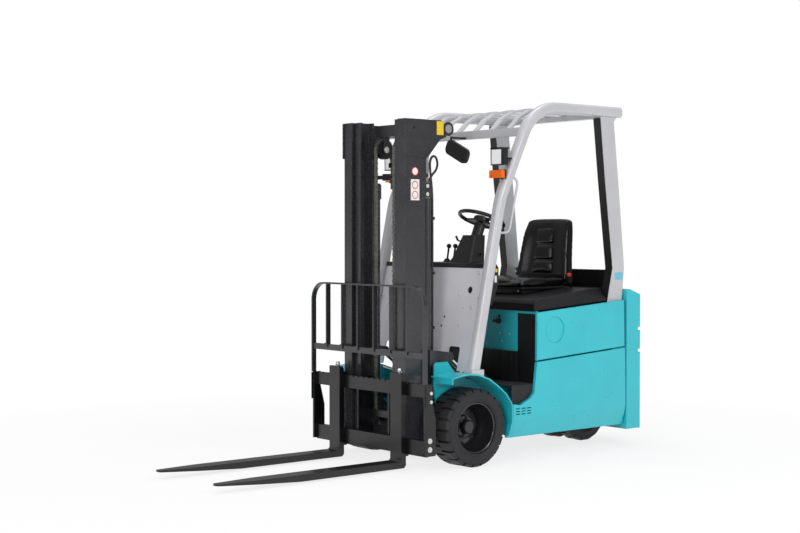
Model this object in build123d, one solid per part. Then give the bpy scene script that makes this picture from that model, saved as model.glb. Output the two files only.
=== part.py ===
import os
from math import atan2, cos, degrees, hypot, pi, radians, sin, tan

from build123d import *

# Three-wheel electric counterbalance forklift, in millimetres.
# The pieces are drawn with +Z up, the forks towards -Y and the operator's left at +X,
# and with y = 0 at the front axle. They are moved along Y at the end, so that the
# origin lies on the floor at the middle of the truck's length.

# Truck
wheelbase = 1305
body_half = 535
weight_setback = 22
weight_length = 297
plate = 12
panel_thickness = 20
running_gap = 0.3
part_gap = 6

# Front wheels
front_tyre_radius = 228.5
front_tyre_width = 178
front_rim_radius = 150
front_rim_wall = 8
front_dish = 35
spindle_radius = 32
front_lugs = 22
front_lug_depth = 12
front_groove = 13
tyre_shoulder = 14
shoulder_drop = 10
tyre_cheek_gap = 8

# Rear twin wheels and their steered carrier
rear_tyre_radius = 190
rear_tyre_width = 113
rear_twin_gap = 106
rear_rim_radius = 100
rear_lugs = 16
rear_lug_depth = 9
rear_groove = 11
rear_axle_radius = 25
steer_web = 70
steer_boss_radius = 42
steer_table_radius = 120
steer_table_bottom = 425
steer_table_thickness = 25
king_pin_radius = 30
wheel_well_radius = 262

# Mast rails
mast_cheek_gap = 51
mast_front = -330
mast_depth = 152
mast_bottom = 80
mast_top = 2013
rail_width = 70
rail_web = 16
rail_flange = 16
inner_gap = 8
inner_step = 46
inner_width = 80
inner_web = 12
inner_flange = 14
axle_beam_radius = 50
hinge_boss_radius = 70
shoe_plate = 14

# Lift cylinders and chains
lift_y = -132
lift_radius = 31.5
lift_bore = 24
lift_rod_radius = 16
lift_gland = 25
lift_barrel_top = 1655
lift_clamp_height = 95
rod_head_bottom = 1900
rod_head_thickness = 25
chain_x = 85
chain_width = 26
chain_thickness = 16
sheave_radius = 52
sheave_y = -187
sheave_z = 1850
chain_anchor_z = 1745
anchor_rod_end = 1617
anchor_bar_z = 1688
anchor_bar_radius = 12
carriage_anchor_z = 300

# Tilt cylinders
tilt_mast_y = -20
tilt_mast_z = 630
tilt_frame_y = 345
tilt_frame_z = 352
tilt_radius = 32
tilt_rod_radius = 17
tilt_eye_radius = 27
tilt_eye_width = 36
tilt_pin_radius = 14
tilt_barrel_length = 300
ear_thickness = 10

# Carriage, load backrest and forks
fork_face = -405
fork_thickness = 38
fork_shank = 35
fork_width = 100
fork_length = 1220
fork_x = 290
fork_top = 50
fork_shank_top = 555
fork_tip_thickness = 10
fork_tip_width = 50
bar_thickness = 30
bar_height = 77
bar_lip = 12
bar_notch_pitch = 50
bar_notch_width = 12
bar_notch_depth = 7
lower_bar_bottom = 104
upper_bar_top = 492
side_plate_thickness = 13
backrest_top = 1056
backrest_corner = 110
backrest_bar = 10
backrest_depth = 30
backrest_cross_bottom = 645
backrest_cross_height = 35
backrest_bars = 6

# Body panels
pedestal_top = 640
skirt_bottom = 145
skirt_chamfer_top = 262
skirt_chamfer_depth = 30
vent_rows = 3
vent_columns = 3
vent_front = 314
vent_length = 34
vent_pitch = 46
vent_bottom = 280
vent_rise = 16
vent_height = 6
waist_front_z = 583
waist_rear_z = 632
cover_gap = 8
cover_top_front_z = 878
cover_top_rear_z = 933
cover_front_y = 490
floor_z = 452
floor_front = 300
floor_rear = 505
floor_thickness = 6
fender_thickness = 8
fender_front = -190

# Counterweight
weight_top_front = 1000
weight_top_rear = 912
weight_groove_height = 22
weight_groove_depth = 45
weight_groove_lower = 596
weight_groove_upper = 735
tow_radius = 13
tow_setback = 70
tow_pocket_bottom = 640
tow_pocket_top = 715
tow_bore_top = 900
tow_recess_radius = 22
rear_panel_rise = 120

# Battery
battery_side_gap = 120
battery_front_gap = 45
battery_rear_gap = 10
battery_bottom = 162.3
battery_height = 660

# Overhead guard
guard_tube_x = 60
guard_tube_y = 66
guard_round = 22
leg_foot_y = 12
leg_foot_z = 543
leg_knee_y = 225
roof_z = 2111
roof_rise = 551
roof_front_y = 495
knee_radius = 400
roof_radius = 300
roof_bar_edge_gap = 64
roof_bar_count = 6
roof_bar_width = 42
roof_bar_thickness = 10
front_beam_drop = 153
front_beam_height = 50
front_beam_depth = 40
post_width = 60

# Cowl and operator's place
cowl_thickness = 6
cowl_bottom_z = 545
cowl_top_z = 1172
cowl_notch_inner = -54
cowl_notch_outer = 44
cowl_notch_top = 685
cowl_hole_inset = 137
cowl_hole_z = 1018
cowl_hole_radius = 20
dash_low_z = 880
nose_x = (-290, 105)
nose_rear = 480
wheel_centre_y = 531
wheel_centre_z = 1439
wheel_ring_radius = 154
wheel_ring_section = 12
wheel_lean = 22
lever_x = (-190, -130)

# Hood and seat
hood_front = 492
hood_wall = 8
hood_hinge_z = 984
hinge_x = 300
knuckle_radius = 4.5
knuckle_pin_radius = 2
seat_half = 245
seat_length = 460
seat_base_top = 1035
cushion_top = 1110
seat_back_top = 1436

# Values that follow from the ones above
weight_front = wheelbase - weight_setback
weight_side_rear = weight_front + 127
rear_reach = weight_front + weight_length
body_rear = weight_front - 7
cover_rear_y = body_rear - 14
roof_rear_y = weight_front - 31
hood_rear = weight_front - 98
hood_side_rear = hood_rear - 63
hood_hinge_y = hood_rear + 5
seat_rear = hood_rear - 85
seat_front = seat_rear - seat_length
seat_back_rear = seat_rear + 48
cheek_x = body_half - front_tyre_width - tyre_cheek_gap - plate
fender_inner_x = cheek_x + plate
mast_half = cheek_x - mast_cheek_gap
tilt_x = mast_half + 14
lift_x = mast_half - 48
inner_half = mast_half - inner_step
carriage_half = body_half - 5
guard_x = body_half - 45
post_x = body_half - 60
dash_half = guard_x - 45
hood_half = body_half - 30
battery_half = body_half - battery_side_gap
battery_front = floor_rear + battery_front_gap
row_shift = (fork_length - fork_face - rear_reach) / 2
mast_back = mast_front + mast_depth
inner_front = mast_front + rail_flange + inner_gap
inner_back = mast_back - rail_flange - inner_gap
inner_y = (inner_front + inner_back) / 2
inner_web_x = inner_half - inner_width / 2
front_wheel_x = body_half - front_tyre_width / 2
bar_front = fork_face + fork_shank + 0.5
bar_back = bar_front + bar_thickness
bay_rear = wheelbase - wheel_well_radius - plate - 1
battery_length = bay_rear - battery_rear_gap - battery_front
leg_knee_z = roof_z - roof_rise
leg_lean = (leg_knee_y - leg_foot_y) / (leg_knee_z - leg_foot_z)
front_beam_z = roof_z - front_beam_drop
front_beam_y = leg_knee_y + (front_beam_z - leg_knee_z) * (roof_front_y - leg_knee_y) / roof_rise
roof_bar_reach = guard_x - guard_tube_x / 2 - roof_bar_edge_gap - roof_bar_width / 2
roof_bar_pitch = 2 * roof_bar_reach / (roof_bar_count - 1)

nodes = {}


def block(x, y, z):
    """Box between two corners, each axis given as (low, high)."""
    size = [high - low for low, high in (x, y, z)]
    centre = [(high + low) / 2 for low, high in (x, y, z)]
    return Pos(*centre) * Box(*size)


def prism_x(outline, x):
    """Extrude a (y, z) outline along X between two values."""
    face = Plane.YZ.offset(x[0]) * make_face(Polyline(*outline, close=True))
    return extrude(face, amount=x[1] - x[0])


def prism_y(outline, y):
    """Extrude an (x, z) outline along Y between two values."""
    face = Plane.XZ.offset(-y[1]) * make_face(Polyline(*outline, close=True))
    return extrude(face, amount=y[1] - y[0])


def prism_z(outline, z):
    """Extrude an (x, y) outline along Z between two values."""
    face = Plane.XY.offset(z[0]) * make_face(Polyline(*outline, close=True))
    return extrude(face, amount=z[1] - z[0])


def rod(start, end, radius):
    """Round bar between two points."""
    start, end = Vector(*start), Vector(*end)
    place = Plane(origin=start, z_dir=end - start)
    return place * Cylinder(radius, (end - start).length, align=(Align.CENTER, Align.CENTER, Align.MIN))


def turned(outline, x=0):
    """Revolve an (x, radius) outline about the X axis, then move it along X."""
    face = make_face(Plane.XY * Polyline(*outline, close=True))
    return Pos(x, 0, 0) * revolve(face, Axis.X)


def pair(shape):
    """A shape and its mirror image across the truck's middle plane."""
    return [shape, mirror(shape, about=Plane.YZ)]


def add(name, *shapes):
    """Record a node made of one or more solids."""
    solids = []
    for shape in shapes:
        solids += shape if isinstance(shape, list) else [shape]
    nodes[name] = solids


# Front wheels: solid tyres with a lugged tread on deep-dished rims


def lug_outline(radius, depth, lugs, groove, first):
    """Outline of one row of flat-topped lugs about the axle, with the first lug's middle at an angle."""
    half_pitch = pi / lugs
    half_lug = half_pitch - groove / radius / 2
    points = []
    for index in range(lugs):
        middle = first + 2 * half_pitch * index
        for turn, sunk in ((-half_lug, depth), (-half_lug, 0), (half_lug, 0), (half_lug, depth)):
            points.append(((radius - sunk) * cos(middle + turn), (radius - sunk) * sin(middle + turn)))
    return points


def lugged_tyre(radius, width, seat, lugs, depth, groove):
    """Solid tyre of two staggered rows of lugs that slope in at the shoulders."""
    straight = width / 2 - tyre_shoulder
    rows = []
    for first in (-pi / 2, -pi / 2 + pi / lugs):
        outline = Polyline(*lug_outline(radius, depth, lugs, groove, first), close=True)
        shrunk = Polyline(*lug_outline(radius - shoulder_drop, depth, lugs, groove, first), close=True)
        row = extrude(Plane.YZ * make_face(outline), amount=straight)
        row += loft([Plane.YZ.offset(straight) * make_face(outline),
                     Plane.YZ.offset(width / 2) * make_face(shrunk)], ruled=True)
        rows.append(row)
    tyre = rows[0] + mirror(rows[1], about=Plane.YZ)
    return tyre - rod((-width, 0, 0), (width, 0, 0), seat)


front_tyre = lugged_tyre(front_tyre_radius, front_tyre_width, front_rim_radius + 0.2,
                         front_lugs, front_lug_depth, front_groove)
rim_half = front_tyre_width * 0.4
rim_inside = front_rim_radius - front_rim_wall
hub_radius = 62
front_rim = turned([
    (-rim_half, front_rim_radius), (-rim_half, rim_inside), (-front_dish - 12, rim_inside),
    (-front_dish - 12, hub_radius), (-front_dish - 30, hub_radius),
    (-front_dish - 30, spindle_radius + running_gap), (10, spindle_radius + running_gap), (10, 0),
    (24, 0), (24, 34), (12, 40), (-front_dish + 22, 44), (-front_dish + 22, hub_radius),
    (-front_dish, hub_radius + 6), (-front_dish, rim_inside), (rim_half, rim_inside),
    (rim_half, front_rim_radius),
])
for name, side in (("left", 1), ("right", -1)):
    tyre = Pos(front_wheel_x, 0, front_tyre_radius) * front_tyre
    rim = Pos(front_wheel_x, 0, front_tyre_radius) * front_rim
    if side < 0:
        tyre = mirror(tyre, about=Plane.YZ)
        rim = mirror(rim, about=Plane.YZ)
    add("front_tyre_" + name, tyre)
    add("front_rim_" + name, rim)


# Front axle with its motor casing and the two fixed spindles

spindle_end = front_wheel_x + 8
axle = rod((-cheek_x, 0, front_tyre_radius), (cheek_x, 0, front_tyre_radius), axle_beam_radius)
axle += rod((-150, 60, front_tyre_radius), (150, 60, front_tyre_radius), 88)
axle += rod((-spindle_end, 0, front_tyre_radius), (spindle_end, 0, front_tyre_radius), spindle_radius)
add("front_axle", axle)


# Front frame: two cheeks outside the tilt cylinders, a cross plate and the pivot ears

cheek_top = floor_z - floor_thickness - running_gap
cheek_outline = [
    (-163, 480), (-163, 590), (-150, 603), (-60, 603), (-38, 575), (16, 520), (floor_front - 60, cheek_top),
    (420, cheek_top), (420, 160), (-60, 130), (-130, 180),
]
cheek = prism_x(cheek_outline, (cheek_x, cheek_x + plate))
cheek -= rod((cheek_x - 1, 0, front_tyre_radius), (cheek_x + plate + 1, 0, front_tyre_radius),
             spindle_radius)
frame_cross = block((-cheek_x, cheek_x), (tilt_frame_y + 45, tilt_frame_y + 45 + plate), (160, 440))
front_frame = cheek + mirror(cheek, about=Plane.YZ) + frame_cross
ear_gap = tilt_eye_width / 2 + 1
for side in (1, -1):
    for shift in (-ear_gap - ear_thickness, ear_gap):
        x = side * tilt_x + shift
        ear = prism_x([
            (tilt_frame_y - 5, tilt_frame_z + 30), (tilt_frame_y + 46, tilt_frame_z + 50),
            (tilt_frame_y + 46, tilt_frame_z - 50), (tilt_frame_y - 5, tilt_frame_z - 30),
        ], (x, x + ear_thickness))
        ear += rod((x, tilt_frame_y, tilt_frame_z), (x + ear_thickness, tilt_frame_y, tilt_frame_z), 30)
        front_frame += ear
    front_frame += rod((side * tilt_x - ear_gap - 1, tilt_frame_y, tilt_frame_z),
                       (side * tilt_x + ear_gap + 1, tilt_frame_y, tilt_frame_z), tilt_pin_radius)
add("front_frame", front_frame)


# Fenders: a bent plate over each front wheel, running down into the side skirt

fender_top = [
    (fender_front, 527), (-120, 540), (-60, 545), (16, 538), (103, 508), (183, 456), (239, 411),
    (284, 353), (289, 311), (289, 232), (262, 160),
]


def offset_inward(points, distance):
    """Move an open (y, z) line towards the wheel by a distance."""
    moved = []
    for index, point in enumerate(points):
        before = points[max(index - 1, 0)]
        after = points[min(index + 1, len(points) - 1)]
        run, rise = after[0] - before[0], after[1] - before[1]
        length = hypot(run, rise)
        moved.append((point[0] + distance * rise / length, point[1] - distance * run / length))
    return moved


fender_section = fender_top + offset_inward(fender_top, fender_thickness)[::-1]
fender = prism_x(fender_section, (fender_inner_x, body_half))
fender += block((fender_inner_x + 30, body_half), (fender_front, fender_front + fender_thickness), (490, 526))
add("fenders", pair(fender))


# Lower body: side plates with a chamfered skirt, an undertray and a rear cross wall

side_outline = [
    (264, skirt_bottom + 12), (270, skirt_bottom), (body_rear - 4, skirt_bottom),
    (body_rear, skirt_bottom + 20), (body_rear - 6, waist_rear_z), (489, waist_front_z), (466, 400),
    (437, 372), (354, 335), (292, 345), (292, 232),
]
skirt_section = [
    (body_half, 700), (body_half, skirt_chamfer_top), (body_half - skirt_chamfer_depth, skirt_bottom - 5),
    (body_half - skirt_chamfer_depth - panel_thickness, skirt_bottom - 5),
    (body_half - panel_thickness, skirt_chamfer_top), (body_half - panel_thickness, 700),
]
side_plate = prism_y(skirt_section, (200, body_rear + 10)) & prism_x(side_outline, (cheek_x, body_half + 5))
for row in range(vent_rows):
    for column in range(vent_columns):
        vent_y = vent_front + column * vent_pitch
        vent_z = vent_bottom + row * vent_rise
        side_plate -= block((body_half - panel_thickness - 1, body_half + 1), (vent_y, vent_y + vent_length),
                            (vent_z, vent_z + vent_height))
tray_half = body_half - skirt_chamfer_depth - panel_thickness + 2
tray = block((-tray_half, tray_half), (floor_rear + plate, bay_rear), (skirt_bottom + 5, skirt_bottom + 17))


def bay_wall(y, z, gap=0):
    """Cross wall of the battery bay, narrowed where the skirts turn in."""
    wall_half = body_half - panel_thickness - gap
    low_half = tray_half - 2 * gap
    outline = [
        (wall_half, 900), (wall_half, skirt_chamfer_top), (low_half, skirt_bottom), (-low_half, skirt_bottom),
        (-wall_half, skirt_chamfer_top), (-wall_half, 900),
    ]
    return prism_y(outline, y) & block((-wall_half, wall_half), y, z)


cross_wall = bay_wall((bay_rear, bay_rear + plate), (skirt_bottom + 5, 560))
pedestal_y = (weight_front - 113, body_rear - 8)
pedestal = block((post_x - post_width / 2, body_half - panel_thickness), pedestal_y, (560, pedestal_top))
pedestal += block((body_half - panel_thickness - 1, body_half - panel_thickness + 4), pedestal_y, (560, 620))
lower_side = side_plate + pedestal
add("lower_body", lower_side + mirror(lower_side, about=Plane.YZ) + tray + cross_wall)


# Side covers over the battery, one on each side

cover_outline = [
    (cover_front_y, waist_front_z + cover_gap), (cover_front_y + 3, cover_top_front_z),
    (cover_rear_y, cover_top_rear_z), (cover_rear_y + 6, waist_rear_z + cover_gap),
]
side_cover = prism_x(cover_outline, (body_half - panel_thickness, body_half))
side_cover = chamfer(side_cover.faces().sort_by(Axis.X)[-1].edges(), 4)
recess_y, recess_z = 640, 770
recess = Pos(body_half - 2, recess_y, recess_z) * Rot(0, 90, 0) * Cylinder(80, 10)
for name, side in (("left", 1), ("right", -1)):
    shape = side_cover - recess
    add("side_cover_" + name, shape if side > 0 else mirror(shape, about=Plane.YZ))


# Battery bay: the front wall, its black trim and kick panel, and the battery block

rest_z = cover_top_front_z + part_gap
add("bay_walls", [
    bay_wall((floor_rear + running_gap, floor_rear + plate - running_gap), (skirt_bottom + 17, rest_z), 1),
    bay_wall((bay_rear, bay_rear + plate), (560 + running_gap, rest_z - 16), running_gap),
])
wall_half = body_half - panel_thickness - 1
kick_half = body_half - 176
kick = block((-kick_half, kick_half), (floor_rear - 22, floor_rear), (floor_z + 0.5, 637))
for index in range(-4, 5):
    kick -= block((index * 80 - 3, index * 80 + 3), (floor_rear - 30, floor_rear - 17), (440, 640))
side_trim = block((kick_half + 0.5, wall_half), (floor_rear - 8, floor_rear), (floor_z + 0.5, 868))
add("kick_panel", kick + side_trim + mirror(side_trim, about=Plane.YZ))
battery = block((-battery_half, battery_half), (battery_front, battery_front + battery_length),
                (battery_bottom, battery_bottom + battery_height))
add("battery", battery)


# Floor: a flat plate, a toe board rising to the cowl, and the steps beside it

toe_top_y, toe_top_z = 62, 700
floor = prism_x([
    (toe_top_y, toe_top_z), (floor_front, floor_z), (floor_rear - 1, floor_z),
    (floor_rear - 1, floor_z - floor_thickness), (floor_front - 3, floor_z - floor_thickness),
    (toe_top_y - 6, toe_top_z - 4),
], (-cheek_x - plate, cheek_x + plate))
step_outer = body_half - panel_thickness - 0.5
step = block((cheek_x - 2, step_outer), (298, floor_rear - 1), (floor_z - floor_thickness, floor_z))
step_side = prism_x([
    (298, floor_z - floor_thickness), (floor_rear - 1, floor_z - floor_thickness), (470, 430), (462, 402),
    (435, 376), (354, 340), (298, 350),
], (step_outer - 8, step_outer))
step += step_side
add("floor", floor + step + mirror(step, about=Plane.YZ))


# Steered carrier and twin rear wheels

table_top = steer_table_bottom + steer_table_thickness
carrier = block((-steer_web / 2, steer_web / 2), (wheelbase - 65, wheelbase + 65), (140, steer_table_bottom))
carrier += rod((0, wheelbase, steer_table_bottom), (0, wheelbase, table_top), steer_table_radius)
carrier += rod((0, wheelbase, table_top), (0, wheelbase, table_top + 70), king_pin_radius)
carrier += rod((-58, wheelbase, rear_tyre_radius), (58, wheelbase, rear_tyre_radius), steer_boss_radius)
carrier -= rod((-steer_web, wheelbase, rear_tyre_radius), (steer_web, wheelbase, rear_tyre_radius),
               rear_axle_radius + running_gap)
add("steer_carrier", carrier)

rear_x = rear_twin_gap / 2 + rear_tyre_width / 2
rear_tyre = lugged_tyre(rear_tyre_radius, rear_tyre_width, rear_rim_radius + 0.2,
                        rear_lugs, rear_lug_depth, rear_groove)
rear_half = rear_tyre_width * 0.4
rear_rim = turned([
    (-rear_half, rear_rim_radius), (-rear_half, rear_rim_radius - 7), (-12, rear_rim_radius - 7),
    (-12, 45), (-rear_half, 45), (-rear_half, 0), (10, 0), (10, 30), (0, 45), (0, rear_rim_radius - 7),
    (rear_half, rear_rim_radius - 7), (rear_half, rear_rim_radius),
], rear_x)
rear_rims = rear_rim + mirror(rear_rim, about=Plane.YZ)
rear_rims += rod((-rear_x, 0, 0), (rear_x, 0, 0), rear_axle_radius)
add("rear_rims", Pos(0, wheelbase, rear_tyre_radius) * rear_rims)
add("rear_tyres", pair(Pos(rear_x, wheelbase, rear_tyre_radius) * rear_tyre))

mount_bottom = table_top + 5
mount_half = 200
mount_rear = wheelbase + 95
steer_mount = block((-mount_half, mount_half), (bay_rear + plate, mount_rear), (mount_bottom, mount_bottom + 30))
steer_mount += rod((0, wheelbase, mount_bottom + 30), (0, wheelbase, mount_bottom + 80), 60)
steer_mount -= rod((0, wheelbase, mount_bottom - 1), (0, wheelbase, table_top + 71),
                   king_pin_radius + running_gap)
add("steer_mount", steer_mount)


# Counterweight: bowed at the back, grooved, with a round well for the rear wheels

weight_bottom = skirt_bottom
arc = ThreePointArc((body_half, weight_side_rear), (0, rear_reach), (-body_half, weight_side_rear))
plan = make_face(Curve() + [
    arc,
    Polyline((-body_half, weight_side_rear), (-body_half, weight_front), (body_half, weight_front),
             (body_half, weight_side_rear)),
])
weight = extrude(Plane.XY.offset(weight_bottom - 30) * plan, amount=weight_top_front - weight_bottom + 30)
weight &= prism_x([
    (weight_front, weight_bottom), (weight_front, weight_top_front), (weight_front + 27, weight_top_front),
    (rear_reach - 60, weight_top_rear + 12), (rear_reach, weight_top_rear - 30),
    (rear_reach, 230), (rear_reach - 64, weight_bottom - 30), (weight_front, weight_bottom - 30),
], (-body_half - 1, body_half + 1))
smaller = offset(plan, amount=-weight_groove_depth)
for groove_z in (weight_groove_lower, weight_groove_upper):
    ring = extrude(Plane.XY.offset(groove_z) * (plan - smaller), amount=weight_groove_height)
    ring -= block((-body_half - 1, body_half + 1), (weight_front - 1, weight_side_rear - 20),
                  (groove_z - 1, groove_z + weight_groove_height + 1))
    weight -= ring
weight -= rod((0, wheelbase, 0), (0, wheelbase, mount_bottom - 3), wheel_well_radius)
weight -= block((-mount_half - running_gap, mount_half + running_gap), (weight_front - 1, mount_rear + running_gap),
                (mount_bottom - 4, mount_bottom + 30 + running_gap))
weight -= rod((0, wheelbase, mount_bottom), (0, wheelbase, mount_bottom + 90), 62)
tow_y = rear_reach - tow_setback
weight -= block((-45, 45), (tow_y - 40, rear_reach + 10), (tow_pocket_bottom, tow_pocket_top))
weight -= rod((0, tow_y, tow_pocket_bottom - 40), (0, tow_y, tow_bore_top + 1), tow_radius)
weight -= rod((0, tow_y, tow_bore_top), (0, tow_y, weight_top_front), tow_recess_radius)
add("counterweight", weight)


# Rear deck between the hood and the counterweight, and the panel between the posts

post_inner = post_x - post_width / 2
deck_top = weight_top_front - 12
deck = block((-post_inner + 5, post_inner - 5), (hood_rear + 8, weight_front - running_gap), (860, deck_top))
knuckles = []
for side in (1, -1):
    for low, high in ((hinge_x - 45, hinge_x - 16), (hinge_x + 16, hinge_x + 45)):
        knuckles.append(rod((side * low, hood_hinge_y, hood_hinge_z), (side * high, hood_hinge_y, hood_hinge_z),
                            knuckle_radius))
    knuckles.append(rod((side * (hinge_x - 20), hood_hinge_y, hood_hinge_z),
                        (side * (hinge_x + 20), hood_hinge_y, hood_hinge_z), knuckle_pin_radius))
    deck -= rod((side * (hinge_x - 16), hood_hinge_y, hood_hinge_z),
                (side * (hinge_x + 16), hood_hinge_y, hood_hinge_z), knuckle_radius + 1)
for shape in knuckles:
    deck += shape
add("rear_deck", deck)
add("rear_panel", block((-post_inner, post_inner), (weight_front - 21, weight_front - 7),
                        (deck_top + running_gap, weight_top_front + rear_panel_rise)))


# Overhead guard: two bent side tubes, a front beam and a rear beam

leg_path = FilletPolyline(
    (leg_foot_y, leg_foot_z), (leg_knee_y, leg_knee_z), (roof_front_y, roof_z), (roof_rear_y, roof_z),
    radius=(knee_radius, roof_radius),
)
leg_path = Plane.YZ.offset(guard_x) * leg_path
leg_section = Plane(origin=leg_path @ 0, x_dir=(1, 0, 0), z_dir=leg_path % 0) * RectangleRounded(
    guard_tube_x, guard_tube_y, guard_round)
leg = sweep(leg_section, path=leg_path)
leg += block((guard_x - guard_tube_x / 2, guard_x + 38), (leg_foot_y - 46, leg_foot_y + 50),
             (leg_foot_z - 40, leg_foot_z + 20))
leg -= prism_x(fender_top + [(262, 0), (fender_front, 0)], (guard_x - 100, guard_x + 100))
front_beam = Pos(0, front_beam_y, front_beam_z) * Box(2 * guard_x, front_beam_depth, front_beam_height)
rear_beam = block((-guard_x, guard_x), (roof_rear_y - 60, roof_rear_y), (roof_z - 30, roof_z + 4))
guard = leg + mirror(leg, about=Plane.YZ) + front_beam + rear_beam
add("guard_frame", guard)

post_outline = [(weight_front + run, z) for run, z in (
    (-215, roof_z - guard_tube_y / 2), (-171, roof_z - 426), (-100, weight_top_front + 134), (-150, 915),
    (-113, 860), (-111, pedestal_top), (-21, pedestal_top), (-15, 930), (7, weight_top_front + 132),
    (-37, roof_z - 549), (-93, roof_z - 61),
    (-68, roof_z - guard_tube_y / 2),
)]
post = prism_x(post_outline, (post_x - post_width / 2, post_x + post_width / 2))
add("rear_posts", pair(post))

bar_low_z = front_beam_z + front_beam_height / 2
bar_top_z = roof_z + 4 + roof_bar_thickness
roof_bar_line = [
    (front_beam_y - 15, bar_low_z + 0.3), (front_beam_y + 60, bar_low_z + 72), (front_beam_y + 150, bar_low_z + 118),
    (front_beam_y + 280, bar_top_z), (roof_rear_y - 5, bar_top_z),
    (roof_rear_y - 5, bar_top_z - roof_bar_thickness),
    (front_beam_y + 280, bar_top_z - roof_bar_thickness), (front_beam_y + 155, bar_low_z + 106),
    (front_beam_y + 68, bar_low_z + 62), (front_beam_y - 2, bar_low_z + 0.3),
]
roof_bars = []
for index in range(roof_bar_count):
    x = (index - (roof_bar_count - 1) / 2) * roof_bar_pitch
    roof_bars.append(prism_x(roof_bar_line, (x - roof_bar_width / 2, x + roof_bar_width / 2)))
add("roof_bars", roof_bars)


# Cowl panel between the front legs, with a notch for each tilt cylinder


def leg_y(z):
    """Middle of the straight part of the front leg at a height."""
    return leg_foot_y + (z - leg_foot_z) * leg_lean


cowl = prism_x([
    (leg_y(cowl_bottom_z), cowl_bottom_z), (leg_y(cowl_top_z), cowl_top_z),
    (leg_y(cowl_top_z) + cowl_thickness, cowl_top_z), (leg_y(cowl_bottom_z) + cowl_thickness, cowl_bottom_z),
], (-guard_x + guard_tube_x / 2 + running_gap, guard_x - guard_tube_x / 2 - running_gap))
notch_x = (tilt_x + cowl_notch_inner, tilt_x + cowl_notch_outer)
notch = block(notch_x, (-100, 200), (cowl_bottom_z - 10, cowl_notch_top))
notch = fillet(notch.edges().filter_by(Axis.Y).group_by(Axis.Z)[-1], 18)
cowl -= notch
cowl -= mirror(notch, about=Plane.YZ)
cowl -= block((-notch_x[0] - 1, notch_x[0] + 1), (-100, 200), (cowl_bottom_z - 10, 640))
cowl -= rod((guard_x - cowl_hole_inset, 0, cowl_hole_z), (guard_x - cowl_hole_inset, 300, cowl_hole_z),
            cowl_hole_radius)
add("cowl_panel", cowl)


# Dash console, steering column and wheel, levers and pedals

dash_low, dash_high = dash_low_z, cowl_top_z
dash_skin = cowl_thickness + running_gap
dash = prism_x([
    (leg_y(dash_high) + dash_skin, dash_high), (322, dash_high), (336, dash_high - 22), (336, dash_high - 132),
    (300, dash_low + 60), (262, dash_low), (leg_y(dash_low) + dash_skin, dash_low),
], (-dash_half, dash_half))
nose = prism_x([
    (300, dash_high), (nose_rear - 10, dash_high), (nose_rear, dash_high - 12), (nose_rear - 8, dash_high - 42),
    (336, dash_high - 92), (300, dash_high - 92),
], nose_x)
dash += nose
add("dash_console", dash)

lean = radians(wheel_lean)
column_direction = Vector(0, sin(lean), cos(lean))
hub_point = Vector(0, wheel_centre_y, wheel_centre_z)
column_top = hub_point - column_direction * 30
column = loft([
    Pos(0, 409, dash_high + running_gap) * RectangleRounded(182, 140, 20),
    Pos(0, 466, 1341) * RectangleRounded(110, 107, 20),
])
column += rod(tuple(hub_point - column_direction * 135), tuple(column_top), 35)
column += rod(tuple(column_top), tuple(hub_point - column_direction * 5), 12)
column += rod((-45, 440, 1292), (-92, 414, 1308), 5) + rod((-92, 414, 1308), (-100, 405, 1336), 7)
column += rod((45, 455, 1232), (112, 436, 1220), 6)
add("steering_column", column)
wheel_plane = Plane(origin=hub_point, x_dir=(1, 0, 0), z_dir=column_direction)
ring = wheel_plane * Torus(wheel_ring_radius - wheel_ring_section, wheel_ring_section)
hub = wheel_plane * Pos(0, 0, -4) * Cylinder(50, 36)
hub = chamfer(hub.faces().sort_by(Axis.Z)[-1].edges(), 8)
hub -= rod(tuple(hub_point - column_direction * 30), tuple(hub_point - column_direction * 4), 12 + running_gap)
spokes = [
    wheel_plane * Rot(0, 0, turn) * Pos(wheel_ring_radius / 2 + 5, 0, 0) * Box(wheel_ring_radius - 30, 26, 10)
    for turn in (0, 90, 180)
]
steering_wheel = ring + hub
for spoke in spokes:
    steering_wheel += spoke
add("steering_wheel", steering_wheel)

levers = []
for x in lever_x:
    foot_point = (x, 410, dash_high)
    tip = (x, 427, dash_high + 100)
    boot = Pos(x, 410, dash_high) * Cone(26, 12, 22, align=(Align.CENTER, Align.CENTER, Align.MIN))
    levers.append(rod(foot_point, tip, 6) + boot + Pos(*tip) * Sphere(15) - dash)
add("levers", levers)
toe_angle = atan2(toe_top_z - floor_z, floor_front - toe_top_y)
pedals = []
for x in (-120, 60):
    on_board = Pos(x, 215, floor_z + (floor_front - 215) * tan(toe_angle)) * Rot(-degrees(toe_angle), 0, 0)
    pad = Pos(0, 0, 32) * Box(70, 110, 10)
    stand = Pos(0, -30, 0.3) * Box(30, 24, 30, align=(Align.CENTER, Align.CENTER, Align.MIN))
    pedals.append(on_board * (pad + stand))
add("pedals", pedals)


# Hood over the battery, hinged at the back, with the seat on it


def hood_block(inset):
    """Solid outline of the hood, drawn in by a distance on its outer faces."""
    half = hood_half - inset
    low = 830
    side = prism_x([
        (hood_front + inset, low), (hood_front + inset, 928 - inset), (hood_front + 22, 950 - inset),
        (620, 968 - inset), (hood_rear - 145, 1008 - inset), (hood_rear - inset, 1008 - inset),
        (hood_rear - inset, low),
    ], (-half, half))
    across = prism_y([
        (half, low), (half, 948 - inset), (half - 60, 1020 - inset), (-half + 60, 1020 - inset),
        (-half, 948 - inset), (-half, low),
    ], (400, hood_rear + 100))
    return side & across


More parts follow.
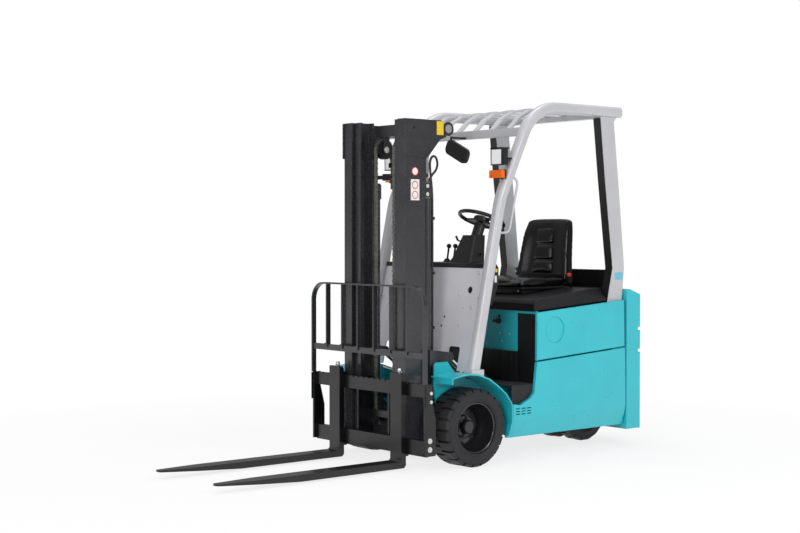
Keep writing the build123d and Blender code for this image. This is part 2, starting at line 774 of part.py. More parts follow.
def above_cover(gap):
    """Space above the sloping top edge of the side covers."""
    slope = (cover_top_rear_z - cover_top_front_z) / (cover_rear_y - cover_front_y)
    front = cover_top_front_z + gap + slope * (300 - cover_front_y)
    rear = cover_top_front_z + gap + slope * (rear_reach - cover_front_y)
    return prism_x([(300, front), (rear_reach, rear), (rear_reach, 1300), (300, 1300)], (-700, 700))


hood = (hood_block(0) - hood_block(hood_wall)) & above_cover(part_gap)
for side in (1, -1):
    hood -= block(sorted((side * (post_inner - 8), side * 600)), (hood_side_rear, hood_rear + 100), (800, 1100))
hood += block((-hood_half + 25, hood_half - 25), (hood_front + hood_wall - 1, floor_rear + plate + 5),
              (rest_z + running_gap, rest_z + 8))
for side in (1, -1):
    low, high = side * (hinge_x - 15), side * (hinge_x + 15)
    hood += rod((low, hood_hinge_y, hood_hinge_z), (high, hood_hinge_y, hood_hinge_z), knuckle_radius)
    hood += block(sorted((low, high)), (hood_rear - 2, hood_hinge_y), (hood_hinge_z - 3, hood_hinge_z + 3))
    hood -= rod((side * (hinge_x - 17), hood_hinge_y, hood_hinge_z),
                (side * (hinge_x + 17), hood_hinge_y, hood_hinge_z), knuckle_pin_radius + running_gap)
add("hood", hood)
seat_base = block((-190, 190), (seat_front + 60, seat_rear - 20), (940, seat_base_top)) - hood_block(-running_gap)
add("seat_base", seat_base)
cushion = block((-seat_half, seat_half), (seat_front, seat_rear - 60), (seat_base_top + 0.3, cushion_top))
add("seat_cushion", fillet(cushion.edges().filter_by(Axis.Z), 40))
seat_back = prism_x([
    (seat_rear - 59, seat_base_top + 0.3), (seat_rear - 35, 1250), (seat_rear - 15, seat_back_top - 20),
    (seat_rear + 15, seat_back_top), (seat_back_rear - 8, seat_back_top - 20), (seat_back_rear, 1250),
    (seat_rear + 20, seat_base_top + 0.3),
], (-seat_half, seat_half))
add("seat_back", seat_back)


# Lamps, indicators, mirror and grab handle on the guard

lamp_face_y = leg_knee_y - 35
lamp_top = leg_knee_z + 288
lamp = block((guard_x - 42, guard_x + 50), (lamp_face_y, lamp_face_y + 50), (lamp_top - 96, lamp_top))
lamp = chamfer(lamp.faces().sort_by(Axis.Y)[0].edges(), 6)
add("work_lamps", pair(lamp))
indicator_z = leg_knee_z + 139
indicator = block((guard_x - 58, guard_x + 44), (lamp_face_y, lamp_face_y + 36),
                  (indicator_z - 23, indicator_z + 23))
add("indicators", pair(indicator))
lamp_bracket = block((guard_x - 45, guard_x + 53), (lamp_face_y - 4, lamp_face_y + 60), (lamp_top, lamp_top + 7))
lamp_bracket += block((guard_x - 30, guard_x + 30), (lamp_face_y + 50, lamp_face_y + 56),
                      (lamp_top - 88, lamp_top + 2))
lamp_bracket += block((guard_x - 18, guard_x + 18), (lamp_face_y + 50, lamp_face_y + 160),
                      (lamp_top - 58, lamp_top - 50))
indicator_bracket = block((guard_x - 18, guard_x + 18), (lamp_face_y + 36, lamp_face_y + 140),
                          (indicator_z - 3, indicator_z + 3))
add("lamp_brackets", pair(lamp_bracket - leg), pair(indicator_bracket - leg))
mirror_y = leg_knee_y + 60
arm_z = front_beam_z - 18
glass = extrude(Plane.XZ * RectangleRounded(205, 92, 34), amount=11, both=True)
mirror_body = Pos(48, mirror_y, arm_z - 88) * Rot(0, 25, 0) * glass
beam_face = front_beam_y - front_beam_depth / 2
mirror_arm = rod((-10, beam_face, arm_z), (-10, mirror_y, arm_z), 7)
mirror_arm += rod((-10, mirror_y, arm_z + 7), (-10, mirror_y, arm_z - 60), 7)
add("mirror", mirror_body + mirror_arm)
handle_low = leg_knee_z - 208
handle_line = FilletPolyline(
    (leg_y(handle_low) + 9, handle_low), (leg_y(handle_low) + 116, handle_low + 6),
    (leg_knee_y + 145, leg_knee_z + 100), (leg_knee_y + 60, leg_knee_z + 155), radius=36,
)
handle_line = Plane.YZ.offset(guard_x) * handle_line
handle = sweep(Plane(origin=handle_line @ 0, x_dir=(1, 0, 0), z_dir=handle_line % 0) * Circle(7), path=handle_line)
add("grab_handle", handle - leg)


# Mast: outer rails, inner rails, carriage and forks


def channel(x_out, width, front, back, web, flange, z):
    """C-section rail that opens towards the middle, on the left side."""
    body = block((x_out - width, x_out), (front, back), z)
    return body - block((x_out - width - 1, x_out - web), (front + flange, back - flange), (z[0] - 1, z[1] + 1))


outer_rail = channel(mast_half, rail_width, mast_front, mast_back, rail_web, rail_flange, (mast_bottom, mast_top))
shoe_outer = mast_half - 2
shoe = prism_x([
    (mast_back, 120), (mast_back, 420), (mast_back + 40, 400), (20, front_tyre_radius + 60),
    (20, front_tyre_radius - 60),
], (shoe_outer - shoe_plate, shoe_outer))
shoe += rod((mast_half - rail_width, 0, front_tyre_radius), (shoe_outer, 0, front_tyre_radius), hinge_boss_radius)
shoe -= rod((mast_half - rail_width - 1, 0, front_tyre_radius), (shoe_outer + 1, 0, front_tyre_radius),
            axle_beam_radius + running_gap)
tilt_ears = block((tilt_x - ear_gap - ear_thickness, tilt_x + ear_gap + ear_thickness),
                  (mast_back, mast_back + 15), (tilt_mast_z - 45, tilt_mast_z + 45))
for shift in (-ear_gap - ear_thickness, ear_gap):
    x = tilt_x + shift
    ear = prism_x([
        (mast_back + 14, tilt_mast_z - 45), (mast_back + 14, tilt_mast_z + 45), (tilt_mast_y, tilt_mast_z + 26),
        (tilt_mast_y, tilt_mast_z - 26),
    ], (x, x + ear_thickness))
    ear += rod((x, tilt_mast_y, tilt_mast_z), (x + ear_thickness, tilt_mast_y, tilt_mast_z), 27)
    tilt_ears += ear
tilt_ears += rod((tilt_x - ear_gap - 1, tilt_mast_y, tilt_mast_z), (tilt_x + ear_gap + 1, tilt_mast_y, tilt_mast_z),
                 tilt_pin_radius)
left_half = outer_rail + shoe + tilt_ears
cross_low = block((-mast_half + 1, mast_half - 1), (mast_back, mast_back + 16), (360, 470))
front_run_y = sheave_y - sheave_radius - chain_thickness / 2 - 0.3
rear_run_y = sheave_y + sheave_radius + chain_thickness / 2 + 0.3
tie_y = mast_back + anchor_bar_radius - 1
anchor_tie = rod((-mast_half + 2, tie_y, anchor_bar_z), (mast_half - 2, tie_y, anchor_bar_z), anchor_bar_radius)
anchor_block = block((chain_x - 26, chain_x + 26), (mast_back, rear_run_y + 18),
                     (anchor_bar_z - 20, anchor_bar_z + 20))
anchor_tie += anchor_block + mirror(anchor_block, about=Plane.YZ)
tube_y, tube_z, tube_radius = -7, 1964, 33
gusset = prism_x([
    (mast_front - 9, mast_top - 2), (mast_front - 9, 1800), (mast_back + 9, 1789), (-70, 1900), (-25, 1915),
    (tube_y, tube_z), (-60, mast_top - 2),
], (mast_half, mast_half + 8))
gusset += rod((mast_half, tube_y, tube_z), (mast_half + 8, tube_y, tube_z), tube_radius + 8)
top_tube = rod((-mast_half, tube_y, tube_z), (mast_half, tube_y, tube_z), tube_radius)
outer_mast = left_half + mirror(left_half, about=Plane.YZ)
outer_mast += cross_low
for side in (1, -1):
    outer_mast -= rod((side * lift_x, lift_y, 0), (side * lift_x, lift_y, lift_barrel_top), lift_radius + 1)
outer_mast += anchor_tie
for x in (chain_x, -chain_x):
    outer_mast -= rod((x, rear_run_y, anchor_rod_end), (x, rear_run_y, chain_anchor_z), 7 + running_gap)
add("outer_mast", outer_mast)
add("mast_top_frame", gusset + mirror(gusset, about=Plane.YZ) + top_tube)

barrel = rod((lift_x, lift_y, mast_bottom + 15), (lift_x, lift_y, lift_barrel_top), lift_radius)
barrel -= rod((lift_x, lift_y, mast_bottom + 35), (lift_x, lift_y, lift_barrel_top - lift_gland), lift_bore)
barrel -= rod((lift_x, lift_y, mast_bottom + 35), (lift_x, lift_y, lift_barrel_top + 1), lift_rod_radius + running_gap)
clamp_z = (lift_barrel_top - lift_clamp_height, lift_barrel_top - 6)
lift_clamp = block((lift_x - 38, lift_x + 38), (mast_back, lift_y), clamp_z)
lift_clamp += rod((lift_x, lift_y, clamp_z[0]), (lift_x, lift_y, clamp_z[1]), lift_radius + 6.5)
lift_clamp -= rod((lift_x, lift_y, clamp_z[0] - 1), (lift_x, lift_y, clamp_z[1] + 1), lift_radius - 1)
lift_foot = block((lift_x - 36, lift_x + 36), (mast_back, lift_y + 30), (mast_bottom, mast_bottom + 15))
add("lift_barrels", pair(barrel + lift_clamp + lift_foot))
lift_rod = rod((lift_x, lift_y, 200), (lift_x, lift_y, rod_head_bottom), lift_rod_radius)
add("lift_rods", pair(lift_rod))

inner_in = inner_half - inner_width
inner_rail = block((inner_in, inner_half), (inner_front, inner_front + inner_flange), (mast_bottom, mast_top))
inner_rail += block((inner_in, inner_half), (inner_back - inner_flange, inner_back), (mast_bottom, mast_top))
inner_rail += block((inner_web_x, inner_web_x + inner_web), (inner_front, inner_back), (mast_bottom, mast_top))
head_front, head_rear = lift_y - 30, lift_y + 24
rod_head = prism_z([
    (inner_in + 6, inner_back), (mast_half - rail_width - 7, inner_back), (mast_half - rail_width - 7, head_front),
    (lift_x + 24, head_front), (lift_x + 24, head_rear), (inner_in + 6, head_rear),
], (rod_head_bottom, rod_head_bottom + rod_head_thickness))
inner_side = inner_rail + rod_head
inner_mast = inner_side + mirror(inner_side, about=Plane.YZ)
cross_x = mast_half - rail_width - 7
top_beam = (mast_top - 88, mast_top - 18)
for low, high in ((mast_bottom + 10, mast_bottom + 120), top_beam):
    inner_mast += block((-cross_x, cross_x), (inner_back, inner_back + 12), (low, high))
for side in (1, -1):
    for shift in (-chain_width / 2 - 14, chain_width / 2 + 6):
        x = side * chain_x + shift
        hanger = prism_x([
            (inner_back + 1, top_beam[1]), (inner_back + 1, top_beam[0]), (sheave_y - 22, sheave_z + 20),
            (sheave_y - 22, sheave_z - 10), (sheave_y - 10, sheave_z - 22), (sheave_y + 10, sheave_z - 22),
            (sheave_y + 22, sheave_z - 10), (sheave_y + 22, top_beam[0]), (inner_back + 30, top_beam[1]),
        ], (x, x + 8))
        inner_mast += hanger
    inner_mast += rod((side * chain_x - chain_width / 2 - 8, sheave_y, sheave_z),
                      (side * chain_x + chain_width / 2 + 8, sheave_y, sheave_z), 14)
add("inner_mast", inner_mast)
sheave = turned([
    (-chain_width / 2 - 4, 14.3), (-chain_width / 2 - 4, sheave_radius + 4), (-chain_width / 2, sheave_radius + 4),
    (-chain_width / 2, sheave_radius), (chain_width / 2, sheave_radius), (chain_width / 2, sheave_radius + 4),
    (chain_width / 2 + 4, sheave_radius + 4), (chain_width / 2 + 4, 14.3),
], chain_x)
add("sheaves", pair(Pos(0, sheave_y, sheave_z) * sheave))

chain_box_x = (chain_x - chain_width / 2 + 1, chain_x + chain_width / 2 - 1)
front_run = block(chain_box_x, (front_run_y - chain_thickness / 2, front_run_y + chain_thickness / 2),
                  (carriage_anchor_z, sheave_z))
add("chain_front_runs", pair(front_run))
outer_loop = sheave_radius + 0.3 + chain_thickness
wrap = rod((chain_box_x[0], sheave_y, sheave_z), (chain_box_x[1], sheave_y, sheave_z), outer_loop)
wrap -= rod((chain_box_x[0] - 1, sheave_y, sheave_z), (chain_box_x[1] + 1, sheave_y, sheave_z),
            sheave_radius + 0.3)
wrap &= block((0, 300), (-400, 0), (sheave_z, sheave_z + 200))
wrap += block(chain_box_x, (rear_run_y - chain_thickness / 2, rear_run_y + chain_thickness / 2),
              (chain_anchor_z + 30 + running_gap, sheave_z + 0.5))
add("chain_rear_runs", pair(wrap))
anchor = rod((chain_x, rear_run_y, anchor_rod_end), (chain_x, rear_run_y, chain_anchor_z), 7)
anchor += block((chain_x - 16, chain_x + 16), (rear_run_y - 11, rear_run_y + 11), (chain_anchor_z, chain_anchor_z + 30))
anchor += rod((chain_x, rear_run_y, anchor_bar_z - 32), (chain_x, rear_run_y, anchor_bar_z - 20), 11)
add("chain_anchors", pair(anchor))

# Carriage: two bars, roller plates, outer side plates
bar_x = (-carriage_half + side_plate_thickness, carriage_half - side_plate_thickness)
upper_low = upper_bar_top - bar_height + bar_lip
upper_bar = prism_x([
    (bar_front, upper_low), (bar_back, upper_low), (bar_back, upper_bar_top), (bar_front + 14, upper_bar_top),
    (bar_front + 14, upper_bar_top + bar_lip), (bar_front, upper_bar_top + bar_lip),
], bar_x)
notch_count = int((carriage_half - side_plate_thickness - bar_notch_width) / bar_notch_pitch)
for index in range(-notch_count, notch_count + 1):
    x = index * bar_notch_pitch
    upper_bar -= block((x - bar_notch_width / 2, x + bar_notch_width / 2), (bar_front - 1, bar_front + 15),
                       (upper_bar_top + bar_lip - bar_notch_depth, upper_bar_top + bar_lip + 1))
lower_top = lower_bar_bottom + bar_height
lower_bar = prism_x([
    (bar_front, lower_bar_bottom - bar_lip), (bar_front + 14, lower_bar_bottom - bar_lip),
    (bar_front + 14, lower_bar_bottom), (bar_back, lower_bar_bottom), (bar_back, lower_top), (bar_front, lower_top),
], bar_x)
side_plate_outline = [
    (bar_front - 20, 97), (bar_back + 30, 97), (bar_back + 30, 300), (bar_back, 420), (bar_back, 504),
    (bar_front - 20, 504),
]
carriage_side = prism_x(side_plate_outline, (carriage_half - side_plate_thickness, carriage_half))
roller_plate = block((inner_in - 22, inner_in - 8), (bar_back - 1, inner_y + 20), (112, 500))
for z in (165, 440):
    roller_plate += rod((inner_in - 20, inner_y, z), (inner_in + 4.5, inner_y, z), 14)
    roller_plate += rod((inner_in + 4, inner_y, z), (inner_web_x - 4, inner_y, z),
                        (inner_back - inner_front) / 2 - inner_flange - 0.5)
carriage = upper_bar + lower_bar + carriage_side + mirror(carriage_side, about=Plane.YZ)
carriage += roller_plate + mirror(roller_plate, about=Plane.YZ)
anchor_bar = block((-inner_in + 21, inner_in - 21), (front_run_y - 13, front_run_y + 11),
                   (carriage_anchor_z - 40, carriage_anchor_z - running_gap))
carriage += anchor_bar
add("carriage", carriage)

# Load backrest: a flat-bar hoop with upright bars and a cross bar
hoop_half = carriage_half
hoop_y = (fork_face + 5, fork_face + 5 + backrest_depth)
hoop_face = make_face(Polyline((-hoop_half, 504.3), (-hoop_half, backrest_top), (hoop_half, backrest_top),
                               (hoop_half, 504.3), close=True))
hoop_face = fillet(hoop_face.vertices().group_by(Axis.Y)[-1], backrest_corner)
hole_half, hole_top = hoop_half - backrest_bar, backrest_top - backrest_bar
hole_face = make_face(Polyline((-hole_half, 400), (-hole_half, hole_top), (hole_half, hole_top), (hole_half, 400),
                               close=True))
hole_face = fillet(hole_face.vertices().group_by(Axis.Y)[-1], backrest_corner - backrest_bar)
hoop = extrude(Plane.XZ.offset(-hoop_y[1]) * (hoop_face - hole_face), amount=backrest_depth)
backrest = hoop + block((-hoop_half + 2, hoop_half - 2), (hoop_y[0] + 8, hoop_y[1]),
                        (backrest_cross_bottom, backrest_cross_bottom + backrest_cross_height))
for index in range(backrest_bars):
    x = (index - (backrest_bars - 1) / 2) * (2 * hoop_half / (backrest_bars + 1))
    backrest += block((x - backrest_bar / 2, x + backrest_bar / 2), hoop_y,
                      (backrest_cross_bottom + backrest_cross_height / 2, backrest_top - backrest_bar + 1))
add("load_backrest", backrest)

# Forks: shank, heel and a blade that tapers to the tip, hooked over the carriage bars
shank_back = fork_face + fork_shank
tip_y = fork_face - fork_length
fork_bottom = fork_top - fork_thickness
fork_side = prism_x([
    (shank_back, fork_bottom + 14), (shank_back, fork_shank_top - 20), (shank_back - 12, fork_shank_top),
    (fork_face, fork_shank_top), (fork_face, fork_top + 10), (fork_face - 10, fork_top), (tip_y, fork_top),
    (tip_y, fork_top - fork_tip_thickness), (tip_y + 520, fork_bottom), (shank_back - 14, fork_bottom),
], (-fork_width / 2, fork_width / 2))
fork_plan = prism_z([
    (-fork_width / 2, shank_back + 1), (-fork_width / 2, tip_y + 260), (-fork_tip_width / 2, tip_y + 12),
    (-fork_tip_width / 2 + 12, tip_y), (fork_tip_width / 2 - 12, tip_y), (fork_tip_width / 2, tip_y + 12),
    (fork_width / 2, tip_y + 260), (fork_width / 2, shank_back + 1),
], (0, 700))
blade = fork_side & fork_plan
upper_hook_z = upper_bar_top + bar_lip + 0.5
upper_hook = prism_x([
    (shank_back - 1, upper_hook_z), (bar_front + 15, upper_hook_z), (bar_front + 15, upper_bar_top + 1),
    (bar_back - 2, upper_bar_top + 1), (bar_back - 2, upper_hook_z + 16), (shank_back - 1, upper_hook_z + 16),
], (-fork_width / 2 + 10, fork_width / 2 - 10))
lower_hook_z = lower_bar_bottom - bar_lip - 0.5
lower_hook = prism_x([
    (shank_back - 1, lower_hook_z), (bar_front + 15, lower_hook_z), (bar_front + 15, lower_bar_bottom - 1),
    (bar_back - 2, lower_bar_bottom - 1), (bar_back - 2, lower_hook_z - 14), (shank_back - 1, lower_hook_z - 14),
], (-fork_width / 2 + 10, fork_width / 2 - 10))
fork = blade + upper_hook + lower_hook
add("fork_left", Pos(fork_x, 0, 0) * fork)
add("fork_right", Pos(-fork_x, 0, 0) * fork)


# Tilt cylinders: a barrel on the front frame and a rod on the mast, one pair on each side

tilt_run = Vector(0, tilt_mast_y - tilt_frame_y, tilt_mast_z - tilt_frame_z)
tilt_length = tilt_run.length
tilt_direction = tilt_run.normalized()


def along(distance, x=tilt_x):
    """Point on the tilt cylinder's line, measured from its frame pin."""
    point = Vector(x, tilt_frame_y, tilt_frame_z) + tilt_direction * distance
    return tuple(point)


def eye(distance, bore_radius):
    x_low, x_high = tilt_x - tilt_eye_width / 2, tilt_x + tilt_eye_width / 2
    ring_shape = rod(along(distance, x_low), along(distance, x_high), tilt_eye_radius)
    return ring_shape, rod(along(distance, x_low - 1), along(distance, x_high + 1), bore_radius)


barrel_eye, barrel_bore = eye(0, tilt_pin_radius + running_gap)
tilt_barrel = rod(along(36), along(tilt_barrel_length), tilt_radius) + rod(along(10), along(40), 12) + barrel_eye
tilt_barrel -= rod(along(70), along(tilt_barrel_length + 1), tilt_rod_radius + running_gap)
tilt_barrel -= barrel_bore
rod_eye, rod_bore = eye(tilt_length, tilt_pin_radius + 0.9)
tilt_rod = rod(along(160), along(tilt_length - 10), tilt_rod_radius) + rod_eye - rod_bore
for name, side in (("left", 1), ("right", -1)):
    barrel_shape = tilt_barrel if side > 0 else mirror(tilt_barrel, about=Plane.YZ)
    rod_shape = tilt_rod if side > 0 else mirror(tilt_rod, about=Plane.YZ)
    add("tilt_barrel_" + name, barrel_shape)
    add("tilt_rod_" + name, rod_shape)


os.makedirs("parts", exist_ok=True)
for name, shapes in nodes.items():
    solids = [solid for shape in shapes for solid in shape.solids()]
    moved = [Pos(0, row_shift, 0) * solid for solid in solids]
    whole = moved[0] if len(moved) == 1 else Compound(children=moved)
    export_step(whole, f"parts/{name}.step")
print("tilt length", round(tilt_length, 2), "row shift", row_shift)
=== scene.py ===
from math import cos, exp, pi, radians, sin

import bmesh
import bpy
from mathutils import Matrix, Vector
from mathutils.bvhtree import BVHTree


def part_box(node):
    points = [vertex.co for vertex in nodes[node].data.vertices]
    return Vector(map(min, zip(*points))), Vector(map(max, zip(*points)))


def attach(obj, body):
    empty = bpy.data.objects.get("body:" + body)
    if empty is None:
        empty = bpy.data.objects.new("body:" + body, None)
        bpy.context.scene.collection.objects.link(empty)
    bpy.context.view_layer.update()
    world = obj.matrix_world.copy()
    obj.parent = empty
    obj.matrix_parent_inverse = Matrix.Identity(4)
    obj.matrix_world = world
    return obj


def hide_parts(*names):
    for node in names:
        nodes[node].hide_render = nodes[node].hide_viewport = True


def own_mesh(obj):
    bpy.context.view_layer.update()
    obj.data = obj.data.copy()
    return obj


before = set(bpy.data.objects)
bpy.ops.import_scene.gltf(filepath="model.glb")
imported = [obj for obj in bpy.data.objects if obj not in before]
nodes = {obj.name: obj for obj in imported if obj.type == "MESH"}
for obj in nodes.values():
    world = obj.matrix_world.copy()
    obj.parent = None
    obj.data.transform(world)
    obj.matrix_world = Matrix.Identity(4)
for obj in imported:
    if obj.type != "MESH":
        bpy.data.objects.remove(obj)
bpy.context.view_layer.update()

scene = bpy.context.scene
print("frame loaded,", len(nodes), "nodes")


def middle(node):
    low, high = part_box(node)
    return (Vector(low) + Vector(high)) / 2


axleY = middle("front_tyre_left").y


def at(x, y, z):
    # millimetres from the floor under the front axle, to metres in the frame
    return Vector((x / 1000, y / 1000 + axleY, z / 1000))


# Camera, as fitted to the photograph: its place, what it looks at and its lens

camera = {"place": (6.789, -5.7375, 1.355), "target": (0.0, -0.110, 1.154), "lens": 66.43, "sensor": 36.0}


def addCamera():
    data = bpy.data.cameras.new("camera")
    data.lens = camera["lens"]
    data.sensor_width = camera["sensor"]
    data.clip_end = 200
    obj = bpy.data.objects.new("camera", data)
    obj.location = camera["place"]
    direction = Vector(camera["target"]) - Vector(camera["place"])
    obj.rotation_euler = direction.to_track_quat("-Z", "Y").to_euler()
    scene.collection.objects.link(obj)
    scene.camera = obj


# Materials


def linear(code):
    # "#rrggbb" in sRGB to a linear colour with alpha
    parts = [int(code[i:i + 2], 16) / 255 for i in (1, 3, 5)]
    return [p / 12.92 if p < 0.04045 else ((p + 0.055) / 1.055) ** 2.4 for p in parts] + [1.0]


def addNode(tree, kind, settings=(), inputs=()):
    # one node with its settings; an input is a value, or a socket to link from
    node = tree.nodes.new("ShaderNode" + kind)
    for key, value in dict(settings).items():
        setattr(node, key, value)
    for key, value in dict(inputs).items():
        if isinstance(value, bpy.types.NodeSocket):
            tree.links.new(value, node.inputs[key])
        else:
            node.inputs[key].default_value = value
    return node


def newMaterial(name, shader):
    # shader holds the values set straight on the surface's own sockets
    material = bpy.data.materials.new(name)
    material.use_nodes = True
    tree = material.node_tree
    surface = tree.nodes["Principled BSDF"]
    for key, value in shader.items():
        surface.inputs[key].default_value = linear(value) if isinstance(value, str) else value
    return material, tree, surface


def objectPoint(tree):
    return addNode(tree, "TexCoord").outputs["Object"]


def speckle(tree, scale, low, high, detail=3.0):
    # noise at a scale per metre, spread between two limits
    noise = addNode(tree, "TexNoise", inputs={
        "Vector": objectPoint(tree), "Scale": scale, "Detail": detail})
    spread = addNode(tree, "MapRange", inputs={
        "Value": noise.outputs["Fac"], "From Min": 0.3, "From Max": 0.7, "To Min": low, "To Max": high})
    return spread.outputs["Result"]


def tint(tree, factor, first, second):
    blend = addNode(tree, "Mix", {"data_type": "RGBA"}, {"Factor": factor})
    blend.inputs["A"].default_value = linear(first)
    blend.inputs["B"].default_value = linear(second)
    return blend.outputs["Result"]


def roundedEdge(tree, surface, radius, height=None, strength=0.1, distance=0.001):
    # folded and sawn edges catch the light over a small radius, with a fine bump on top
    normal = addNode(tree, "Bevel", {"samples": 4}, {"Radius": radius}).outputs["Normal"]
    if height is not None:
        bump = addNode(tree, "Bump", inputs={
            "Strength": strength, "Distance": distance, "Height": height, "Normal": normal})
        normal = bump.outputs["Normal"]
    tree.links.new(normal, surface.inputs["Normal"])


enamels = {
    # name: colour, a slightly different colour, roughness, coat, orange peel height in metres, edge radius
    "tealEnamel": ("#24bac8", "#2ac1cd", 0.3, 0.4, 0.00012, 0.004),
    "silverEnamel": ("#bcbcc0", "#c5c5c9", 0.32, 0.3, 0.00010, 0.002),
    "cowlEnamel": ("#d0cfd5", "#d7d6dc", 0.36, 0.2, 0.00008, 0.001),
    "charcoalEnamel": ("#2a2a2d", "#323236", 0.26, 0.3, 0.00014, 0.0015),
    "carriageEnamel": ("#0b0b0d", "#101013", 0.3, 0.1, 0.00014, 0.002),
    "blackEnamel": ("#0c0c0e", "#121214", 0.38, 0.0, 0.00014, 0.0015),
    "rimEnamel": ("#17171a", "#1e1e21", 0.28, 0.3, 0.00014, 0.002),
}


def enamel(name):
    # sprayed and baked enamel on steel: an even colour, a gloss softened by orange peel, edges that shine
    first, second, roughness, coat, peel, edge = enamels[name]
    material, tree, surface = newMaterial(name, {
        "Base Color": first, "Roughness": roughness, "IOR": 1.5,
        "Coat Weight": coat, "Coat Roughness": 0.12})
    tree.links.new(tint(tree, speckle(tree, 4, 0, 1), first, second), surface.inputs["Base Color"])
    tree.links.new(speckle(tree, 14, roughness - 0.03, roughness + 0.05), surface.inputs["Roughness"])
    roundedEdge(tree, surface, edge, speckle(tree, 260, 0, 1), 0.25, peel)
    return material


plastics = {
    # name: colour, worn colour, roughness, specular level, grain size in metres, grain height, edge radius
    "grainedPlastic": ("#111114", "#17171a", 0.42, 0.4, 0.0012, 0.00025, 0.003),
    "hoodPlastic": ("#100f13", "#161519", 0.36, 0.3, 0.0016, 0.0003, 0.008),
    "stepRubber": ("#1c1b1f", "#262529", 0.55, 0.4, 0.004, 0.0008, 0.002),
    "mouldedHose": ("#131315", "#1b1b1e", 0.45, 0.5, 0.002, 0.0002, 0.001),
}


def mouldedPlastic(name):
    # polypropylene from a spark-eroded mould: a fine even grain that blurs the light
    first, second, roughness, specular, grain, height, edge = plastics[name]
    material, tree, surface = newMaterial(name, {"Roughness": roughness, "Specular IOR Level": specular})
    tree.links.new(tint(tree, speckle(tree, 9, 0, 1), first, second), surface.inputs["Base Color"])
    cells = addNode(tree, "TexVoronoi", inputs={"Vector": objectPoint(tree), "Scale": 1 / grain})
    roundedEdge(tree, surface, edge, cells.outputs["Distance"], 0.35, height)
    return material


def seatVinyl():
    # coated fabric over foam: nearly black, a soft gloss and a very fine leather grain
    material, tree, surface = newMaterial("seatVinyl", {
        "Base Color": "#040405", "Specular IOR Level": 0.36})
    tree.links.new(speckle(tree, 8, 0.2, 0.26), surface.inputs["Roughness"])
    grain = addNode(tree, "TexVoronoi", inputs={"Vector": objectPoint(tree), "Scale": 900})
    bump = addNode(tree, "Bump", inputs={
        "Strength": 0.1, "Distance": 0.0002, "Height": grain.outputs["Distance"]})
    tree.links.new(bump.outputs["Normal"], surface.inputs["Normal"])
    return material


def tyreRubber():
    # moulded natural rubber: charcoal, dull, a little paler where it is dusty
    material, tree, surface = newMaterial("tyreRubber", {"Roughness": 0.62, "IOR": 1.52})
    dusty = tint(tree, speckle(tree, 12, 0, 1, 6), "#141417", "#201f23")
    tree.links.new(dusty, surface.inputs["Base Color"])
    roundedEdge(tree, surface, 0.003, speckle(tree, 500, 0, 1), 0.3, 0.0003)
    return material


metals = {
    # name: colour, roughness low and high, metallic
    "chromePlate": ("#e8e9eb", 0.06, 0.12, 1.0),
    "groundSteel": ("#b9babd", 0.28, 0.4, 1.0),
    "zincPlate": ("#dcdcd8", 0.35, 0.5, 0.55),
    "chainSteel": ("#8d8a86", 0.25, 0.42, 0.9),
}


def metal(name):
    # bare or plated steel, with a roughness that varies as oil and handling leave it
    colour, low, high, metallic = metals[name]
    material, tree, surface = newMaterial(name, {"Base Color": colour, "Metallic": metallic})
    tree.links.new(speckle(tree, 60, low, high), surface.inputs["Roughness"])
    roundedEdge(tree, surface, 0.0008)
    return material


def lampPlastic():
    # white reflector seen through a clear cover with a fine pattern of flutes, and a faint white painted
    # glow that brightens it though the lamp is off
    material, tree, surface = newMaterial("lampPlastic", {
        "Base Color": "#eef0f0", "Roughness": 0.12, "Coat Weight": 1.0, "Coat Roughness": 0.03,
        "Emission Color": "#ffffff", "Emission Strength": 0.15})
    cells = addNode(tree, "TexVoronoi", inputs={"Vector": objectPoint(tree), "Scale": 90})
    roundedEdge(tree, surface, 0.004, cells.outputs["Distance"], 0.6, 0.002)
    return material


def amberPlastic():
    # tinted acrylic lens over a reflector, and a faint orange painted glow though the indicator is off
    material, tree, surface = newMaterial("amberPlastic", {
        "Base Color": "#ee6a10", "Roughness": 0.14, "Coat Weight": 1.0, "Coat Roughness": 0.04,
        "Emission Color": "#e85a08", "Emission Strength": 0.12})
    ribs = addNode(tree, "TexWave", {"bands_direction": "X"}, {"Vector": objectPoint(tree), "Scale": 28})
    roundedEdge(tree, surface, 0.004, ribs.outputs["Fac"], 0.4, 0.002)
    return material


def mirrorGlass():
    return newMaterial("mirrorGlass", {"Base Color": "#c7ccd0", "Metallic": 1.0, "Roughness": 0.03})[0]


foils = {
    # name: colour, roughness
    "yellowFoil": ("#e2c32a", 0.35),
    "redFoil": ("#c9352c", 0.35),
    "whiteFoil": ("#e8e8e4", 0.35),
    "blueFoil": ("#6fbfd3", 0.3),
    "greyFoil": ("#8d8d90", 0.45),
    # painted shade: a flat near-black for the shade seen inside holes and slots, which are not cut
    "paintedHoleShade": ("#060607", 0.9),
}


def printedFoil(name):
    # self-adhesive vinyl: one even printed colour, a little softened by handling; the same flat near-black
    # also serves as painted shade inside holes and slots
    colour, roughness = foils[name]
    material, tree, surface = newMaterial(name, {"Base Color": colour})
    tree.links.new(speckle(tree, 90, roughness - 0.05, roughness + 0.08), surface.inputs["Roughness"])
    return material


materials = {name: enamel(name) for name in enamels}
materials.update({name: printedFoil(name) for name in foils})
materials.update({name: mouldedPlastic(name) for name in plastics})
materials.update({name: metal(name) for name in metals})
materials.update(seatVinyl=seatVinyl(), tyreRubber=tyreRubber(), lampPlastic=lampPlastic(),
                 amberPlastic=amberPlastic(), mirrorGlass=mirrorGlass())

